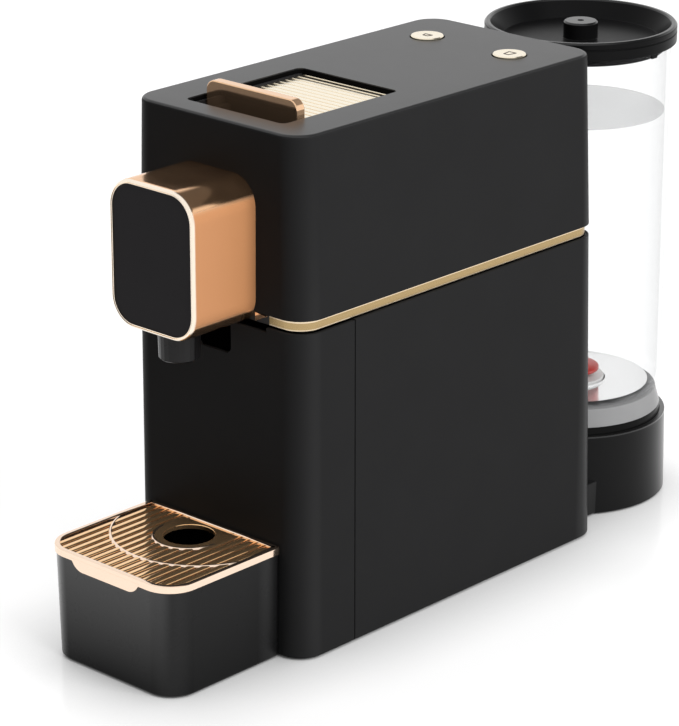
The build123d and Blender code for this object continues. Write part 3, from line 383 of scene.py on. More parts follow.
def lower_casing():
    """The outside of the whole lower casing, open at its top."""
    bm = drafted_box(
        (body_half, front_wall - lower_front_draft, rear_wall + lower_rear_draft, lower_low.z),
        (body_half, front_wall, rear_wall, groove_bottom))
    round_edges(bm, upright_edges(bm), corner, corner_steps)
    round_edges(bm, level_edges(bm, lower_low.z), low_edge, edge_steps)
    drop_face(bm, faces_by_height(bm)[-1])
    return bm


def cut(bm, place, normal, drop=True):
    """Cut a shape by a plane, and drop what lies on the normal's side."""
    bmesh.ops.bisect_plane(bm, geom=bm.verts[:] + bm.edges[:] + bm.faces[:], dist=1e-7, plane_co=place,
                           plane_no=normal, clear_outer=drop)


def straight_box(half, front, rear, low, high):
    """A box with upright walls."""
    return drafted_box((half, front, rear, low), (half, front, rear, high))


rear_casing = lower_casing()
cut(rear_casing, (0, seam_rear, 0), (0, -1, 0))
drop_face(rear_casing, faces_by_height(rear_casing)[0])
piece("casing_rear", rear_casing, black, "machine", ["lower_shell"], wall=casing_wall,
      edge=0.0003)

bulkhead_front = front_wall + 0.114
bulkhead_lift = 0.003
bulkhead = straight_box(body_half - skin, bulkhead_front, bulkhead_front + skin,
                        lower_low.z + bulkhead_lift, groove_bottom)
round_edges(bulkhead, bulkhead.edges[:], plate_edge, 2)
piece("bulkhead", bulkhead, black, "machine")

relief_half = 0.033
relief_gap = 0.0009
relief_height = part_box("head_sleeve")[0].z - relief_gap
notch_half = 0.0107
notch_gap = 0.0016
notch_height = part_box("spout_nozzle")[0].z - notch_gap
notch_slant = 0.0022
front_casing = lower_casing()
cut(front_casing, (0, seam_front, 0), (0, 1, 0))
cut(front_casing, (0, 0, drawer_high.z), (0, 0, 1))
for half in (notch_half, relief_half):
    for side in (-1, 1):
        cut(front_casing, (side * half, 0, 0), (1, 0, 0), drop=False)
for height in (notch_height, relief_height):
    cut(front_casing, (0, 0, height), (0, 0, 1), drop=False)
for side in (-1, 1):
    cut(front_casing, (side * (notch_half - notch_slant), 0, notch_height), (side, 0, -1), drop=False)
gone = []
for face in front_casing.faces:
    middle = face.calc_center_median()
    under_head = abs(middle.x) < relief_half and middle.z > relief_height
    from_corner = notch_half - abs(middle.x) + middle.z - notch_height
    in_notch = abs(middle.x) < notch_half and middle.z > notch_height and from_corner > notch_slant
    if middle.y < front_wall + corner / 2 and (under_head or in_notch):
        gone.append(face)
bmesh.ops.delete(front_casing, geom=gone, context="FACES")
piece("drawer_casing", front_casing, black, "capsule_drawer", ["drawer_front"],
      wall=casing_wall, edge=0.0004)

shelf_half = 0.028
shelf_thickness = 0.0022
shelf = straight_box(shelf_half, drawer_low.y, front_wall + skin, lower_low.z,
                     lower_low.z + shelf_thickness)
round_edges(shelf, shelf.edges[:], plate_edge, 2)
piece("tray_shelf", shelf, black, "capsule_drawer")


# Gold band
# A bent strip of satin-gold anodised aluminium, sprung into the groove between the casings. It runs all
# round the machine and stops short of the brew head on either side, and its top and bottom edges are
# painted pale as a highlight. A strip of black under it stands in as painted shade in the groove.
def dimmed(colour, share):
    """A share of a colour's light."""
    return tuple(share * value for value in colour)


def brushed(name, colour, edge_highlight_colour, low, high, edge_width, rough, streak):
    """Metal drawn in one direction: level streaks in its gloss and tone, and a pale painted highlight
    along its edges.
    """
    material, shade, output = new_finish(name)
    place = shade.node("TexCoord", output="Object")
    drawn = shade.node("Mapping", None, {"Vector": place, "Scale": (60, 60, 9000)})
    lines = shade.node("TexNoise", None, {"Vector": drawn, "Scale": 1.0, "Detail": 3.0})
    level = axes(shade, place).other("Z")
    # A band along the top and bottom edges, painted pale as a highlight.
    edge = (level < low + edge_width) + (level > high - edge_width)
    tone = blend(shade, edge, blend(shade, lines, dimmed(colour, 0.82), colour), edge_highlight_colour)
    return surface(material, shade, output, {"Base Color": tone, "Metallic": 1.0,
                                             "Roughness": rough + lines * streak})


band_low, band_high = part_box("trim_band")
band_bottom = band_low.z + 0.0005
edge_highlight_width = 0.0007
# The band's top and bottom edges are painted pale: a painted highlight.
gold = brushed("satin_gold", (0.46, 0.33, 0.16), (0.76, 0.62, 0.44), band_bottom,
               band_high.z - edge_highlight_width, edge_highlight_width, rough=0.2, streak=0.16)
band_break = 0.033
band_corner = corner - 0.002
shadow_strip_inset = 0.0008


def band_strip(inset, low, high):
    """A strip bent round the machine, set in from the band's face and broken at the brew head."""
    strip = rounded_face(
        level_corners(band_high.x - inset, band_low.y + inset, band_high.y - inset, low),
        [band_corner - inset] * 4, corner_steps)
    drop_face(strip, strip.faces[:][0])
    extrude_by(strip, strip.edges[:], (0, 0, high - low))
    for side in (-1, 1):
        cut(strip, (side * band_break, 0, 0), (1, 0, 0), drop=False)
    bmesh.ops.delete(strip, context="FACES", geom=[
        face for face in strip.faces
        if abs(face.calc_center_median().x) < band_break and face.calc_center_median().y < 0])
    return strip


piece("gold_band", band_strip(0, band_bottom, band_high.z), gold, "machine", ["trim_band"],
      wall=0.0012, edge=0.0002)
# Black strip under the band: painted shade where the groove lies in shadow.
piece("band_shadow_strip", band_strip(shadow_strip_inset, band_low.z, band_bottom), black, "machine",
      wall=0.0008)


# Deck, base plate, feet and gland
# Plain inner mouldings and fixings, made to CAD size: the deck and the base plate in dark plastic, soft
# rubber feet, zinc-plated screws and a black bush where the mains lead enters.
def dress(material, *nodes):
    """Give CAD nodes a finish."""
    for node in nodes:
        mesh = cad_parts[node].data
        mesh.materials.clear()
        mesh.materials.append(material)


def plain_metal(name, colour, rough, spread):
    """Bare metal with a cast or rolled skin: blotchy gloss and a faint pitting."""
    pit_size, blotch_size = 0.002, 0.01
    material, shade, output = new_finish(name)
    place = shade.node("TexCoord", output="Object")
    pits = grain(shade, place, pit_size)
    bump = shade.node("Bump", None, {"Height": pits, "Distance": 0.00003, "Strength": 0.4})
    tone = blend(shade, grain(shade, place, blotch_size), dimmed(colour, 0.8), colour)
    return surface(material, shade, output, {"Base Color": tone, "Metallic": 1.0, "Normal": bump,
                                             "Roughness": rough + pits * spread})


inner = moulded("inner_plastic", (0.016, 0.016, 0.017), (0.022, 0.022, 0.023), rough=0.5, gloss=0.4,
                spark=0.0006)
soft_rubber = moulded("soft_rubber", (0.012, 0.012, 0.012), (0.02, 0.02, 0.02), rough=0.75, gloss=0.2,
                      spark=0.0005)
zinc = plain_metal("zinc_steel", (0.56, 0.57, 0.58), rough=0.24, spread=0.2)
dress(inner, "mid_deck", "base_plate", "capsule_bin")
dress(soft_rubber, "rubber_feet")
dress(black, "cord_gland")
dress(zinc, "base_screws", "deck_screws", "deck_ties", "board_screws")


# Brew head
# A deep-drawn sleeve, plated in rose gold, with a rolled front rim. A matte black panel closes it in
# front, and the black spout hangs under it.
def ramp(shade, value, start, end, rise="SMOOTHSTEP"):
    """From 0 where a value is at its start to 1 where it is at its end."""
    return shade.node("MapRange", {"interpolation_type": rise},
                      {"Value": value, "From Min": start, "From Max": end})


def rose_gold(name, colour, rough, bright, flank=0.0, flank_reflection_colour=None, flank_rough=0.0, lip=0.0,
              lip_highlight_colour=None):
    """Rose-gold mirror plating with a faint ripple and haze; satin past a half width with a flat colour
    that is a painted reflection, and painted pale on a lip as a highlight.
    """
    haze_size, ripple_size, flank_fade, lip_fade = 0.008, 0.02, 0.0012, 0.0006
    material, shade, output = new_finish(name)
    place = shade.node("TexCoord", output="Object")
    haze = grain(shade, place, haze_size, 4.0)
    ripple = grain(shade, place, ripple_size, 1.0)
    bump = shade.node("Bump", None, {"Height": ripple, "Distance": 0.00006, "Strength": 0.25})
    tone = blend(shade, haze, dimmed(colour, 0.94), colour)
    gloss = rough + haze * 0.05
    plating = bright - haze * 0.03
    if flank:
        across = axes(shade, place)
        # Past the half width the colour is a flat satin tone, a painted reflection; on the lip it is
        # pale, a painted highlight.
        side = ramp(shade, abs(across), flank - flank_fade, flank)
        front = ramp(shade, across.other("Y"), lip, lip - lip_fade, "LINEAR")
        tone = blend(shade, front, blend(shade, side, tone, flank_reflection_colour), lip_highlight_colour)
        gloss = gloss + side * flank_rough
        plating = (plating - side * 0.85).at_least(front * bright)
    return surface(material, shade, output, {"Base Color": tone, "Metallic": plating, "Normal": bump,
                                             "Roughness": gloss})


def upright_corners(half, low, high, y):
    """Corners of an upright rectangle facing the front, lower pair first."""
    return [(-half, y, low), (half, y, low), (half, y, high), (-half, y, high)]


def lofted(outlines):
    """A closed ring of walls through a row of like outlines."""
    bm = bmesh.new()
    rows = [add_loop(bm, outline) for outline in outlines]
    for row, following in zip(rows, rows[1:] + rows[:1]):
        bmesh.ops.bridge_loops(bm, edges=row + following)
    return bm


copper = rose_gold("rose_gold", (0.93, 0.60, 0.37), rough=0.06, bright=0.80)
head_low, head_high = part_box("head_sleeve")
flank_inset = 0.0006
lip_reach = 0.0017
# The sleeve's sides are a flat orange satin as a painted reflection, and its front lip is painted pale
# as a highlight.
sleeve_copper = rose_gold(
    "rose_gold_sleeve", (0.92, 0.55, 0.31), rough=0.12, bright=0.98, flank=head_high.x - flank_inset,
    flank_reflection_colour=(0.66, 0.30, 0.13), flank_rough=0.35, lip=head_low.y + lip_reach,
    lip_highlight_colour=(0.98, 0.86, 0.72))
head_corner = 0.014
head_steps = 14
head_wall = 0.002
head_depth = head_high.y - head_low.y
lip_width = 0.00135
lip_depth = 0.0024
lip_steps = 8
groove_depth = 0.0007
groove_side = lip_width + 0.00025
hair = 0.00005
turns = [step * pi / (2 * lip_steps) for step in range(lip_steps + 1)]
lip = [(lip_width * (1 - cos(turn)), lip_depth * (1 - sin(turn))) for turn in turns]
section = [(0, head_depth)] + lip + [
    (lip_width + hair, groove_depth), (groove_side, groove_depth), (groove_side + hair, 4 * hair),
    (groove_side + 3 * hair, 2 * hair), (head_wall - 2 * hair, 2 * hair), (head_wall, 4 * hair),
    (head_wall, head_depth)]
sleeve = lofted([
    rounded_face(upright_corners(head_high.x - inset, head_low.z + inset, head_high.z - inset,
                                 head_low.y + back),
                 [head_corner - inset] * 4, head_steps)
    for inset, back in section])
piece("head_sleeve_plated", sleeve, sleeve_copper, "machine", ["head_sleeve"])

flange_y = front_wall + 0.0002
flange_side = head_high.x - flank_inset
flange_tip = band_break - 0.0002
flange_low = band_low.z + 0.0015
flange_middle = band_high.z - 0.001
flange_high = band_high.z - 0.0002
flange_corner = 0.0004
flange_thickness = 0.0012
flange = rounded_face([(flange_side, flange_y, flange_low), (flange_tip, flange_y, flange_middle),
                       (flange_side, flange_y, flange_high)], [flange_corner] * 3, 3)
extrude_by(flange, flange.faces[:], (0, flange_thickness, 0))
piece("head_flange", flange, copper, "machine")

panel_black = moulded("panel_black", (0.026, 0.024, 0.026), (0.030, 0.028, 0.030), rough=0.5, gloss=0.08)
face_low, face_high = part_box("head_face")
panel = rounded_face(upright_corners(face_high.x, face_low.z, face_high.z, face_low.y),
                     [head_corner - head_wall] * 4, head_steps)
extrude_by(panel, panel.faces[:], (0, face_high.y - face_low.y, 0))
piece("head_panel", panel, panel_black, "machine", ["head_face"], edge=0.0004,
      segments=3)


def turned(outline, y, steps=96, closed=True):
    """A shape turned about an upright axis from its outline of (radius, height) points."""
    bm = bmesh.new()
    verts = [bm.verts.new((radius, y, height)) for radius, height in outline]
    pairs = list(zip(verts, verts[1:]))
    if closed:
        pairs.append((verts[-1], verts[0]))
    edges = [bm.edges.new(pair) for pair in pairs]
    bmesh.ops.spin(bm, geom=verts + edges, cent=(0, y, 0), axis=(0, 0, 1), angle=2 * pi, steps=steps,
                   use_merge=True)
    bmesh.ops.remove_doubles(bm, verts=bm.verts, dist=1e-6)
    return bm


spout_black = moulded("spout_black", (0.009, 0.0085, 0.009), (0.012, 0.0115, 0.012), rough=0.28,
                      gloss=0.22)
spout_low, spout_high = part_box("spout_nozzle")
spout_y = (spout_low.y + spout_high.y) / 2
spout_radius = 0.0097
spout_lip = 0.0094
spout_bore = 0.0019
spout_tip = [(spout_bore, 0.004), (0.006, 0.0012), (spout_lip - 0.001, 0), (spout_lip, 0.0008),
             (spout_radius, 0.012)]
spout = turned([(radius, spout_low.z + rise) for radius, rise in spout_tip]
               + [(spout_radius, spout_high.z), (spout_bore, spout_high.z)], spout_y, 24)
piece("spout", spout, spout_black, "machine", ["spout_nozzle"], sharp=10)
dress(inner, "outlet_duct")


# Sliding cover and its handle
# A plated plate with fine cross ribs, which runs on two rails under the roof, and the upright finger
# plate fixed at its front.
pale_gold = rose_gold("pale_gold", (0.98, 0.88, 0.70), rough=0.1, bright=0.97)
cover_low, cover_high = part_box("slide_cover")
cover_corner = 0.001
rib_height = 0.0003
rib_root = 0.0018
rib_width = 0.0031
rib_pitch = 0.0041
rib_margin = 0.003
rib_half = cover_high.x - 0.0006
cover = straight_box(cover_high.x, cover_low.y, cover_high.y, cover_low.z, cover_high.z - rib_height)
round_edges(cover, upright_edges(cover), cover_corner, edge_steps)
rib_count = int((cover_high.y - cover_low.y - 2 * rib_margin) / rib_pitch) + 1
for index in range(rib_count):
    y = cover_low.y + rib_margin + index * rib_pitch
    rib = straight_box(rib_half, y - rib_width / 2, y + rib_width / 2, cover_high.z - rib_root,
                       cover_high.z)
    round_edges(rib, level_edges(rib, cover_high.z), rib_height, 3)
    join(cover, rib)
piece("ribbed_cover", cover, pale_gold, "cover", ["slide_cover"])

handle_low, handle_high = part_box("cover_handle")
handle_foot = 0.0005
handle_corner = 0.005
handle = rounded_face(upright_corners(handle_high.x, handle_low.z, handle_high.z, handle_low.y),
                      [handle_foot, handle_foot, handle_corner, handle_corner], 10)
extrude_by(handle, handle.faces[:], (0, handle_high.y - handle_low.y, 0))
piece("finger_plate", handle, copper, "cover", ["cover_handle"], edge=0.0011,
      segments=5)


# Push buttons
# Two plated discs, slightly dished, that stand a little proud of the roof. Each has a plain cup drawn on
# it in dark enamel, low for a short drink and tall for a long one.
button_radius = 0.008
button_flange = 0.01
button_stem = 0.0025
cap_bottom = 0.0038
stem_top = 0.0062
button_drops = [(0, 0.0002), (0.005, 0.00015), (button_radius - 0.0009, 0),
                (button_radius - 0.0003, 0.00012), (button_radius, 0.0005), (button_radius, cap_bottom),
                (button_flange, cap_bottom), (button_flange, stem_top), (button_stem, stem_top)]
sign_line = 0.0006
sign_root = 0.0004
sign_drop = 0.00008
cup_mouth = 0.0022
cup_signs = {"left": (0.0015, 0.0012, -0.0014), "right": (0.0014, 0.0024, -0.0024)}
enamel = moulded("sign_enamel", (0.05, 0.028, 0.016), (0.06, 0.034, 0.02), rough=0.4, gloss=0.4)
for side, name in ((-1, "left"), (1, "right")):
    low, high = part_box("button_" + name)
    disc = turned([(radius, high.z - drop) for radius, drop in button_drops]
                  + [(button_stem, low.z), (0, low.z)], button_y, closed=False)
    bmesh.ops.translate(disc, verts=disc.verts, vec=(side * button_x, 0, 0))
    piece("button_cap_" + name, disc, pale_gold, name + "_button", ["button_" + name])
    foot, top, bottom = cup_signs[name]
    outline = [(-cup_mouth, top), (cup_mouth, top), (foot, bottom), (-foot, bottom), (-cup_mouth, top)]
    sign = bmesh.new()
    for start, end in zip(outline, outline[1:]):
        run = Vector(end) - Vector(start)
        stroke = straight_box(sign_line / 2, 0, run.length, high.z - sign_root, high.z - sign_drop)
        bmesh.ops.rotate(stroke, verts=stroke.verts, cent=(0, 0, 0),
                         matrix=Matrix.Rotation(atan2(-run.x, run.y), 3, "Z"))
        bmesh.ops.translate(stroke, verts=stroke.verts,
                            vec=(side * button_x + start[0], button_y + start[1], 0))
        join(sign, stroke)
    piece("cup_sign_" + name, sign, enamel, name + "_button")


# Brew unit and controls
# What shows through the capsule opening and what lies hidden behind it: frame, carriage and rails in
# dark plastic, the cast brew cup and thermoblock, the pierced steel plate, and the control board.
cast = plain_metal("cast_aluminium", (0.62, 0.62, 0.63), rough=0.35, spread=0.25)
board = moulded("board_lacquer", (0.01, 0.09, 0.035), (0.012, 0.11, 0.045), rough=0.3, gloss=0.5,
                spark=0.001)
dress(inner, "brew_frame", "cup_carriage", "cover_rails", "button_switches", "pump")
dress(cast, "brew_cup", "thermoblock")
dress(zinc, "piercing_plate", "pump_bracket", "button_spring_left", "button_spring_right",
      "valve_spring", "coupling_pin")
dress(board, "control_board")
dress(soft_rubber, "pump_mounts", "suction_hose", "pressure_hose", "brew_hose", "coupling_seal",
      "lid_gasket")


# Drip tray
# A deep open tray, moulded in black plastic with a satin finish that hands have rubbed up at the rim.
# It is drafted and rounded below, and slides onto the drawer's shelf.
tray_low, tray_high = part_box("drip_tray")
tray_draft = 0.0008
tray_corner = 0.014
tray_rear_corner = 0.0015
tray_foot = 0.0045


def gripped_places(shade, place, low, high, front_gloss, side_gloss):
    """Gloss that hands leave on a box's front and sides, most at its rim."""
    start, full = 0.005, 0.001
    across = axes(shade, place)
    upwards = ramp(shade, across.other("Z"), low.z, high.z, "LINEAR")
    in_front = ramp(shade, across.other("Y"), low.y + start, low.y + full)
    beside = ramp(shade, abs(across), high.x - start, high.x - full)
    return upwards * (in_front * front_gloss + beside * side_gloss)


tray_black = moulded(
    "tray_black", (0.0045, 0.0045, 0.0047), (0.006, 0.006, 0.0062), rough=0.28, gloss=0.1,
    rubbed=dict(low=tray_low, high=tray_high, radius=tray_corner, corner_gloss=0.4),
    gripped=dict(low=tray_low, high=tray_high, front_gloss=0.85, side_gloss=0.14))
tray = drafted_box(
    (tray_high.x - tray_draft, tray_low.y + tray_draft, tray_high.y, tray_low.z),
    (tray_high.x, tray_low.y, tray_high.y, tray_high.z))
front_posts = [edge for edge in upright_edges(tray) if edge.verts[0].co.y < tray_low.y + 0.01]
round_edges(tray, front_posts, tray_corner, 16)
rear_posts = [edge for edge in upright_edges(tray) if edge.verts[0].co.y > tray_high.y - 0.001]
round_edges(tray, rear_posts, tray_rear_corner, edge_steps)
round_edges(tray, level_edges(tray, tray_low.z), tray_foot, 6)
drop_face(tray, faces_by_height(tray)[-1])
piece("tray_pan", tray, tray_black, "tray", ["drip_tray"], wall=0.0022, edge=0.0004)


# Drip grid
# One casting, plated in rose gold and laid on the tray: a flat rim with a finger tab in front, and
# warmer slats from front to back. The rim, its tab and the tie arcs are painted paler than the slats,
# a painted highlight. A plate rings the drip hole, and two arcs tie the slats.
# The rim, its tab and the two tie arcs take a paler copy of the slats' plating: a painted highlight.
rim_copper_painted_pale = rose_gold("rose_gold_rim", (0.96, 0.75, 0.59), rough=0.06, bright=0.99)
slat_copper = rose_gold("rose_gold_slats", (0.98, 0.62, 0.32), rough=0.06, bright=0.91)
grid_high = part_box("drip_grid")[1]
grid_half = grid_high.x
grid_front = front_wall - 0.0712
grid_rear = grid_high.y
rim_height = 0.0034
rim_width = 0.0026
rim_edge = 0.0012
rim_bottom = grid_high.z - rim_height
rim_corner = tray_corner + 0.0008
rim_rear_corner = 0.0015
slat_top = grid_high.z - 0.0008
slat_height = 0.0022
slat_width = 0.0033
slat_edge = 0.0008
slat_count = 16
slat_low = slat_top - slat_height
overlap = 0.001
hole_y = front_wall - 0.018
hole_radius = 0.012
hole_edge = 0.0004
plate_radius = 0.0165
arc_y = front_wall - 0.010
arc_radius = 0.042
tie_width = 0.0021
tie_high = slat_top + 0.00025
tie_steps = 48


def brim_edges(bm, height):
    """Edges at one height where a top meets a wall."""
    return [edge for edge in level_edges(bm, height)
            if len(edge.link_faces) == 2 and edge.calc_face_angle(0) > 1]


grid = rounded_face(level_corners(grid_half, grid_front, grid_rear, rim_bottom),
                    [rim_corner, rim_corner, rim_rear_corner, rim_rear_corner], 16)
bmesh.ops.inset_region(grid, faces=grid.faces[:], thickness=rim_width, use_boundary=True,
                       use_even_offset=True)
drop_face(grid, max(grid.faces, key=lambda face: len(face.verts)))
extrude_by(grid, grid.faces[:], (0, 0, rim_height))
bmesh.ops.recalc_face_normals(grid, faces=grid.faces)
round_edges(grid, brim_edges(grid, grid_high.z), rim_edge, edge_steps)

inside_half = grid_half - rim_width
inside_front = grid_front + rim_width
inside_rear = grid_rear - rim_width
inside_corner = rim_corner - rim_width
slats = bmesh.new()
slat_gap = (2 * inside_half - slat_count * slat_width) / (slat_count + 1)
for index in range(slat_count):
    x = -inside_half + slat_gap + slat_width / 2 + index * (slat_gap + slat_width)
    past = max(abs(x) - (inside_half - inside_corner), 0)
    front = inside_front + inside_corner - sqrt(inside_corner ** 2 - past ** 2) - overlap
    rear = inside_rear + overlap
    if abs(x) < plate_radius:
        rear = hole_y - sqrt(plate_radius ** 2 - x ** 2) + overlap
    slat = straight_box(slat_width / 2, front, rear, slat_low, slat_top)
    long_edges = [edge for edge in level_edges(slat, slat_top)
                  if abs(edge.verts[0].co.y - edge.verts[1].co.y) > overlap]
    round_edges(slat, long_edges, slat_edge, 4)
    bmesh.ops.translate(slat, verts=slat.verts, vec=(x, 0, 0))
    join(slats, slat)


def tie_bar(y, radius, start, sweep):
    """A flat bar bent about an upright axis, from a start angle through a sweep."""
    inner_radius, outer_radius = radius - tie_width / 2, radius + tie_width / 2
    slope = (outer_radius - inner_radius) / 3
    spots = [(inner_radius, slat_low), (outer_radius, slat_low), (outer_radius, tie_high - slope),
             (outer_radius - slope, tie_high), (inner_radius + slope, tie_high),
             (inner_radius, tie_high - slope)]
    bm = bmesh.new()
    face = bm.faces.new([bm.verts.new((spot * cos(start), y + spot * sin(start), height))
                         for spot, height in spots])
    bmesh.ops.spin(bm, geom=[face], cent=(0, y, 0), axis=(0, 0, 1), angle=sweep, steps=tie_steps)
    bmesh.ops.remove_doubles(bm, verts=bm.verts, dist=1e-6)
    bmesh.ops.recalc_face_normals(bm, faces=bm.faces)
    return bm


lean = asin(sqrt(1 - (inside_half / arc_radius) ** 2))
join(grid, tie_bar(arc_y, arc_radius, pi + lean, pi - 2 * lean))
join(grid, tie_bar(hole_y, plate_radius, pi, pi))

nearly_none = 1e-6
full_round = plate_radius - nearly_none
hole_plate = rounded_face(
    level_corners(plate_radius, hole_y - plate_radius, inside_rear + overlap, slat_top),
    [full_round, full_round, nearly_none, nearly_none], 24)
plate_edges = hole_plate.edges[:]
drop_face(hole_plate, hole_plate.faces[:][0])
ring_edges = add_loop(hole_plate, level_circle(0, hole_y, slat_top, hole_radius, 72))
bmesh.ops.triangle_fill(hole_plate, use_beauty=True, use_dissolve=False, edges=plate_edges + ring_edges)
extrude_by(hole_plate, hole_plate.faces[:], (0, 0, -slat_height))
bmesh.ops.recalc_face_normals(hole_plate, faces=hole_plate.faces)
round_edges(hole_plate, brim_edges(hole_plate, slat_top), hole_edge, 3)
join(slats, hole_plate)

tab_top = 0.0225
tab_slope = 0.004
tab_drop = 0.0042
tab_corner = 0.0034
tab_root = 0.0001
tab_thickness = 0.0012
tab_half = tab_top - tab_slope
tab_low = rim_bottom - tab_drop
tab_high = rim_bottom + 0.0012
tab_y = grid_front - 0.00005
tab = rounded_face([(-tab_half, tab_y, tab_low), (tab_half, tab_y, tab_low), (tab_top, tab_y, tab_high),
                    (-tab_top, tab_y, tab_high)], [tab_corner, tab_corner, tab_root, tab_root], 6)
extrude_by(tab, tab.faces[:], (0, tab_thickness, 0))
bmesh.ops.recalc_face_normals(tab, faces=tab.faces)
join(grid, tab)
piece("grid_rim", grid, rim_copper_painted_pale, "grid", ["drip_grid"])
piece("grid_slats", slats, slat_copper, "grid")


# Tank seat
# A round black moulding that the tank stands on, with a socket for the tank's valve in its deck. A low
# neck joins it to the rear of the casing.
seat_low, seat_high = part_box("tank_seat")
tank_y = (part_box("tank_lid")[0].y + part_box("tank_lid")[1].y) / 2
tank_steps = 128
seat_radius = 0.049
seat_top_radius = seat_radius - 0.0007
seat_inner = 0.0457
seat_deck = 0.039
seat_under = seat_deck - 0.0025
seat_rim = seat_deck + 0.0033
seat_edge = Vector((seat_high.x, seat_high.y, seat_rim))
socket_outer = 0.0113
socket_inner = 0.0089
socket_top = seat_deck + 0.007
seat_black = moulded("seat_black", (0.011, 0.011, 0.0112), (0.013, 0.013, 0.0132), rough=0.3, gloss=0.06,
                     rubbed=dict(low=seat_low, high=seat_edge, roof_gloss=0.8), rim_gloss=0.9)
seat = turned([(seat_radius, seat_low.z), (seat_top_radius, seat_rim), (seat_inner, seat_rim),
               (seat_inner, seat_deck), (socket_outer, seat_deck), (socket_outer, socket_top),
               (socket_inner, socket_top), (socket_inner, seat_under), (seat_inner, seat_under),
               (seat_inner, seat_low.z)], tank_y, tank_steps)
rear_slope = Vector((0, groove_bottom, lower_rear_draft)).normalized()
cut(seat, (0, rear_wall, groove_bottom), -rear_slope)
piece("seat_ring", seat, seat_black, "machine", ["tank_seat"], edge=0.0006, segments=3)

neck_half = 0.040
neck_front = rear_wall + 0.0035
neck_rear = rear_wall + 0.025
neck_top = 0.0185
neck_edge = 0.0008
neck = straight_box(neck_half, neck_front, neck_rear, seat_low.z, neck_top)
round_edges(neck, neck.edges[:], neck_edge, 3)
piece("seat_neck", neck, seat_black, "machine")


# Water tank
# A clear tube with a rounded shoulder, moulded in one with its floor. A smoke-grey foot is welded under
# it, and a white ring with a red poppet is set in the floor. It stands filled with water.
def clear_plastic(name):
    """Clear plastic wall: see-through, brighter and greyer where it is seen at a slant."""
    facing, slanting = 0.012, 0.32
    material, shade, output = new_finish(name)
    slant = shade.node("LayerWeight", None, {"Blend": 0.3}, output=1)
    through = shade.node("BsdfTransparent", None, {"Color": (0.992, 0.993, 0.994, 1)})
    gloss = shade.node("BsdfPrincipled", None, {
        "Base Color": (0.55, 0.56, 0.57, 1), "Roughness": 0.04, "Specular IOR Level": 0.6})
    mixed = shade.node("MixShader", None,
                       {0: facing + slant * slant * slanting, 1: through, 2: gloss})
    material.node_tree.links.new(mixed.socket, output.inputs["Surface"])
    return material


clear = clear_plastic("clear_plastic")
shell_low, shell_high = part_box("tank_shell")
tank_radius = shell_high.x
tank_top_radius = 0.0454
tank_wall = 0.0022
tank_floor = shell_low.z + tank_wall
shoulder_outer = 0.008
shoulder_inner = 0.0058
valve_hole = 0.013
tube = turned([(valve_hole, shell_low.z), (tank_radius, shell_low.z), (tank_top_radius, shell_high.z),
               (tank_top_radius - tank_wall, shell_high.z), (tank_radius - tank_wall, tank_floor),
               (valve_hole, tank_floor)], tank_y, tank_steps)


def ring_edges_at(bm, radius, height):
    """Edges of the circle at a radius and height about the tank's axis."""
    ring = {vert for vert in bm.verts if abs(vert.co.z - height) < 1e-5
            and abs(Vector((vert.co.x, vert.co.y - tank_y)).length - radius) < 2e-4}
    return [edge for edge in bm.edges if ring.issuperset(edge.verts)]


round_edges(tube, ring_edges_at(tube, tank_radius, shell_low.z), shoulder_outer, 8)
round_edges(tube, ring_edges_at(tube, tank_radius - tank_wall, tank_floor), shoulder_inner, 8)
piece("tank_tube", tube, clear, "tank", ["tank_shell"])


def smoked(name, height):
    """Smoke-grey plastic, black below a height."""
    cloud_size = 0.03
    material, shade, output = new_finish(name)
    place = shade.node("TexCoord", output="Object")
    level = axes(shade, place).other("Z")
    clouds = grain(shade, place, cloud_size)
    grey = blend(shade, clouds, (0.33, 0.33, 0.333), (0.40, 0.40, 0.403))
    tone = blend(shade, level > height, (0.004, 0.004, 0.004), grey)
    return surface(material, shade, output, {"Base Color": tone, "Roughness": 0.18 + clouds * 0.1,
                                             "Specular IOR Level": 0.06})


cup_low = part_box("tank_cup")[0]
# The foot is black below this height.
cup_black_below = cup_low.z + 0.007
smoke = smoked("smoke_grey", cup_black_below)
cup_foot = 0.0456
cup_top = 0.043
cup_wall = 0.0022
cup_bore = 0.0025
cup_bend = cup_low.z + 0.006
cup_bottom = 0.0393
cup_ceiling = shell_low.z - 0.002
cup = turned([(cup_foot, cup_bend), (cup_top, shell_low.z), (cup_bore, shell_low.z),
              (cup_bore, cup_ceiling), (cup_top - cup_wall, cup_ceiling),
              (cup_foot - cup_wall, cup_bend), (cup_foot - cup_wall, cup_bottom),
              (cup_foot, cup_bottom)], tank_y, tank_steps)
piece("tank_foot", cup, smoke, "tank", ["tank_cup"], edge=0.0004)

white = moulded("white_plastic", (0.72, 0.72, 0.71), (0.78, 0.78, 0.77), rough=0.3, gloss=0.5)
ring_low, ring_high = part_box("valve_seat")
ring_bore = 0.009
ring_neck = 0.0129
ring_flange = 0.0165
valve_ring = turned([(ring_bore, ring_low.z), (ring_neck, ring_low.z), (ring_neck, tank_floor),
                     (ring_flange, tank_floor), (ring_flange, ring_high.z), (ring_bore, ring_high.z)],
                    tank_y, 72)
piece("valve_ring", valve_ring, white, "tank", ["valve_seat"], edge=0.0004)

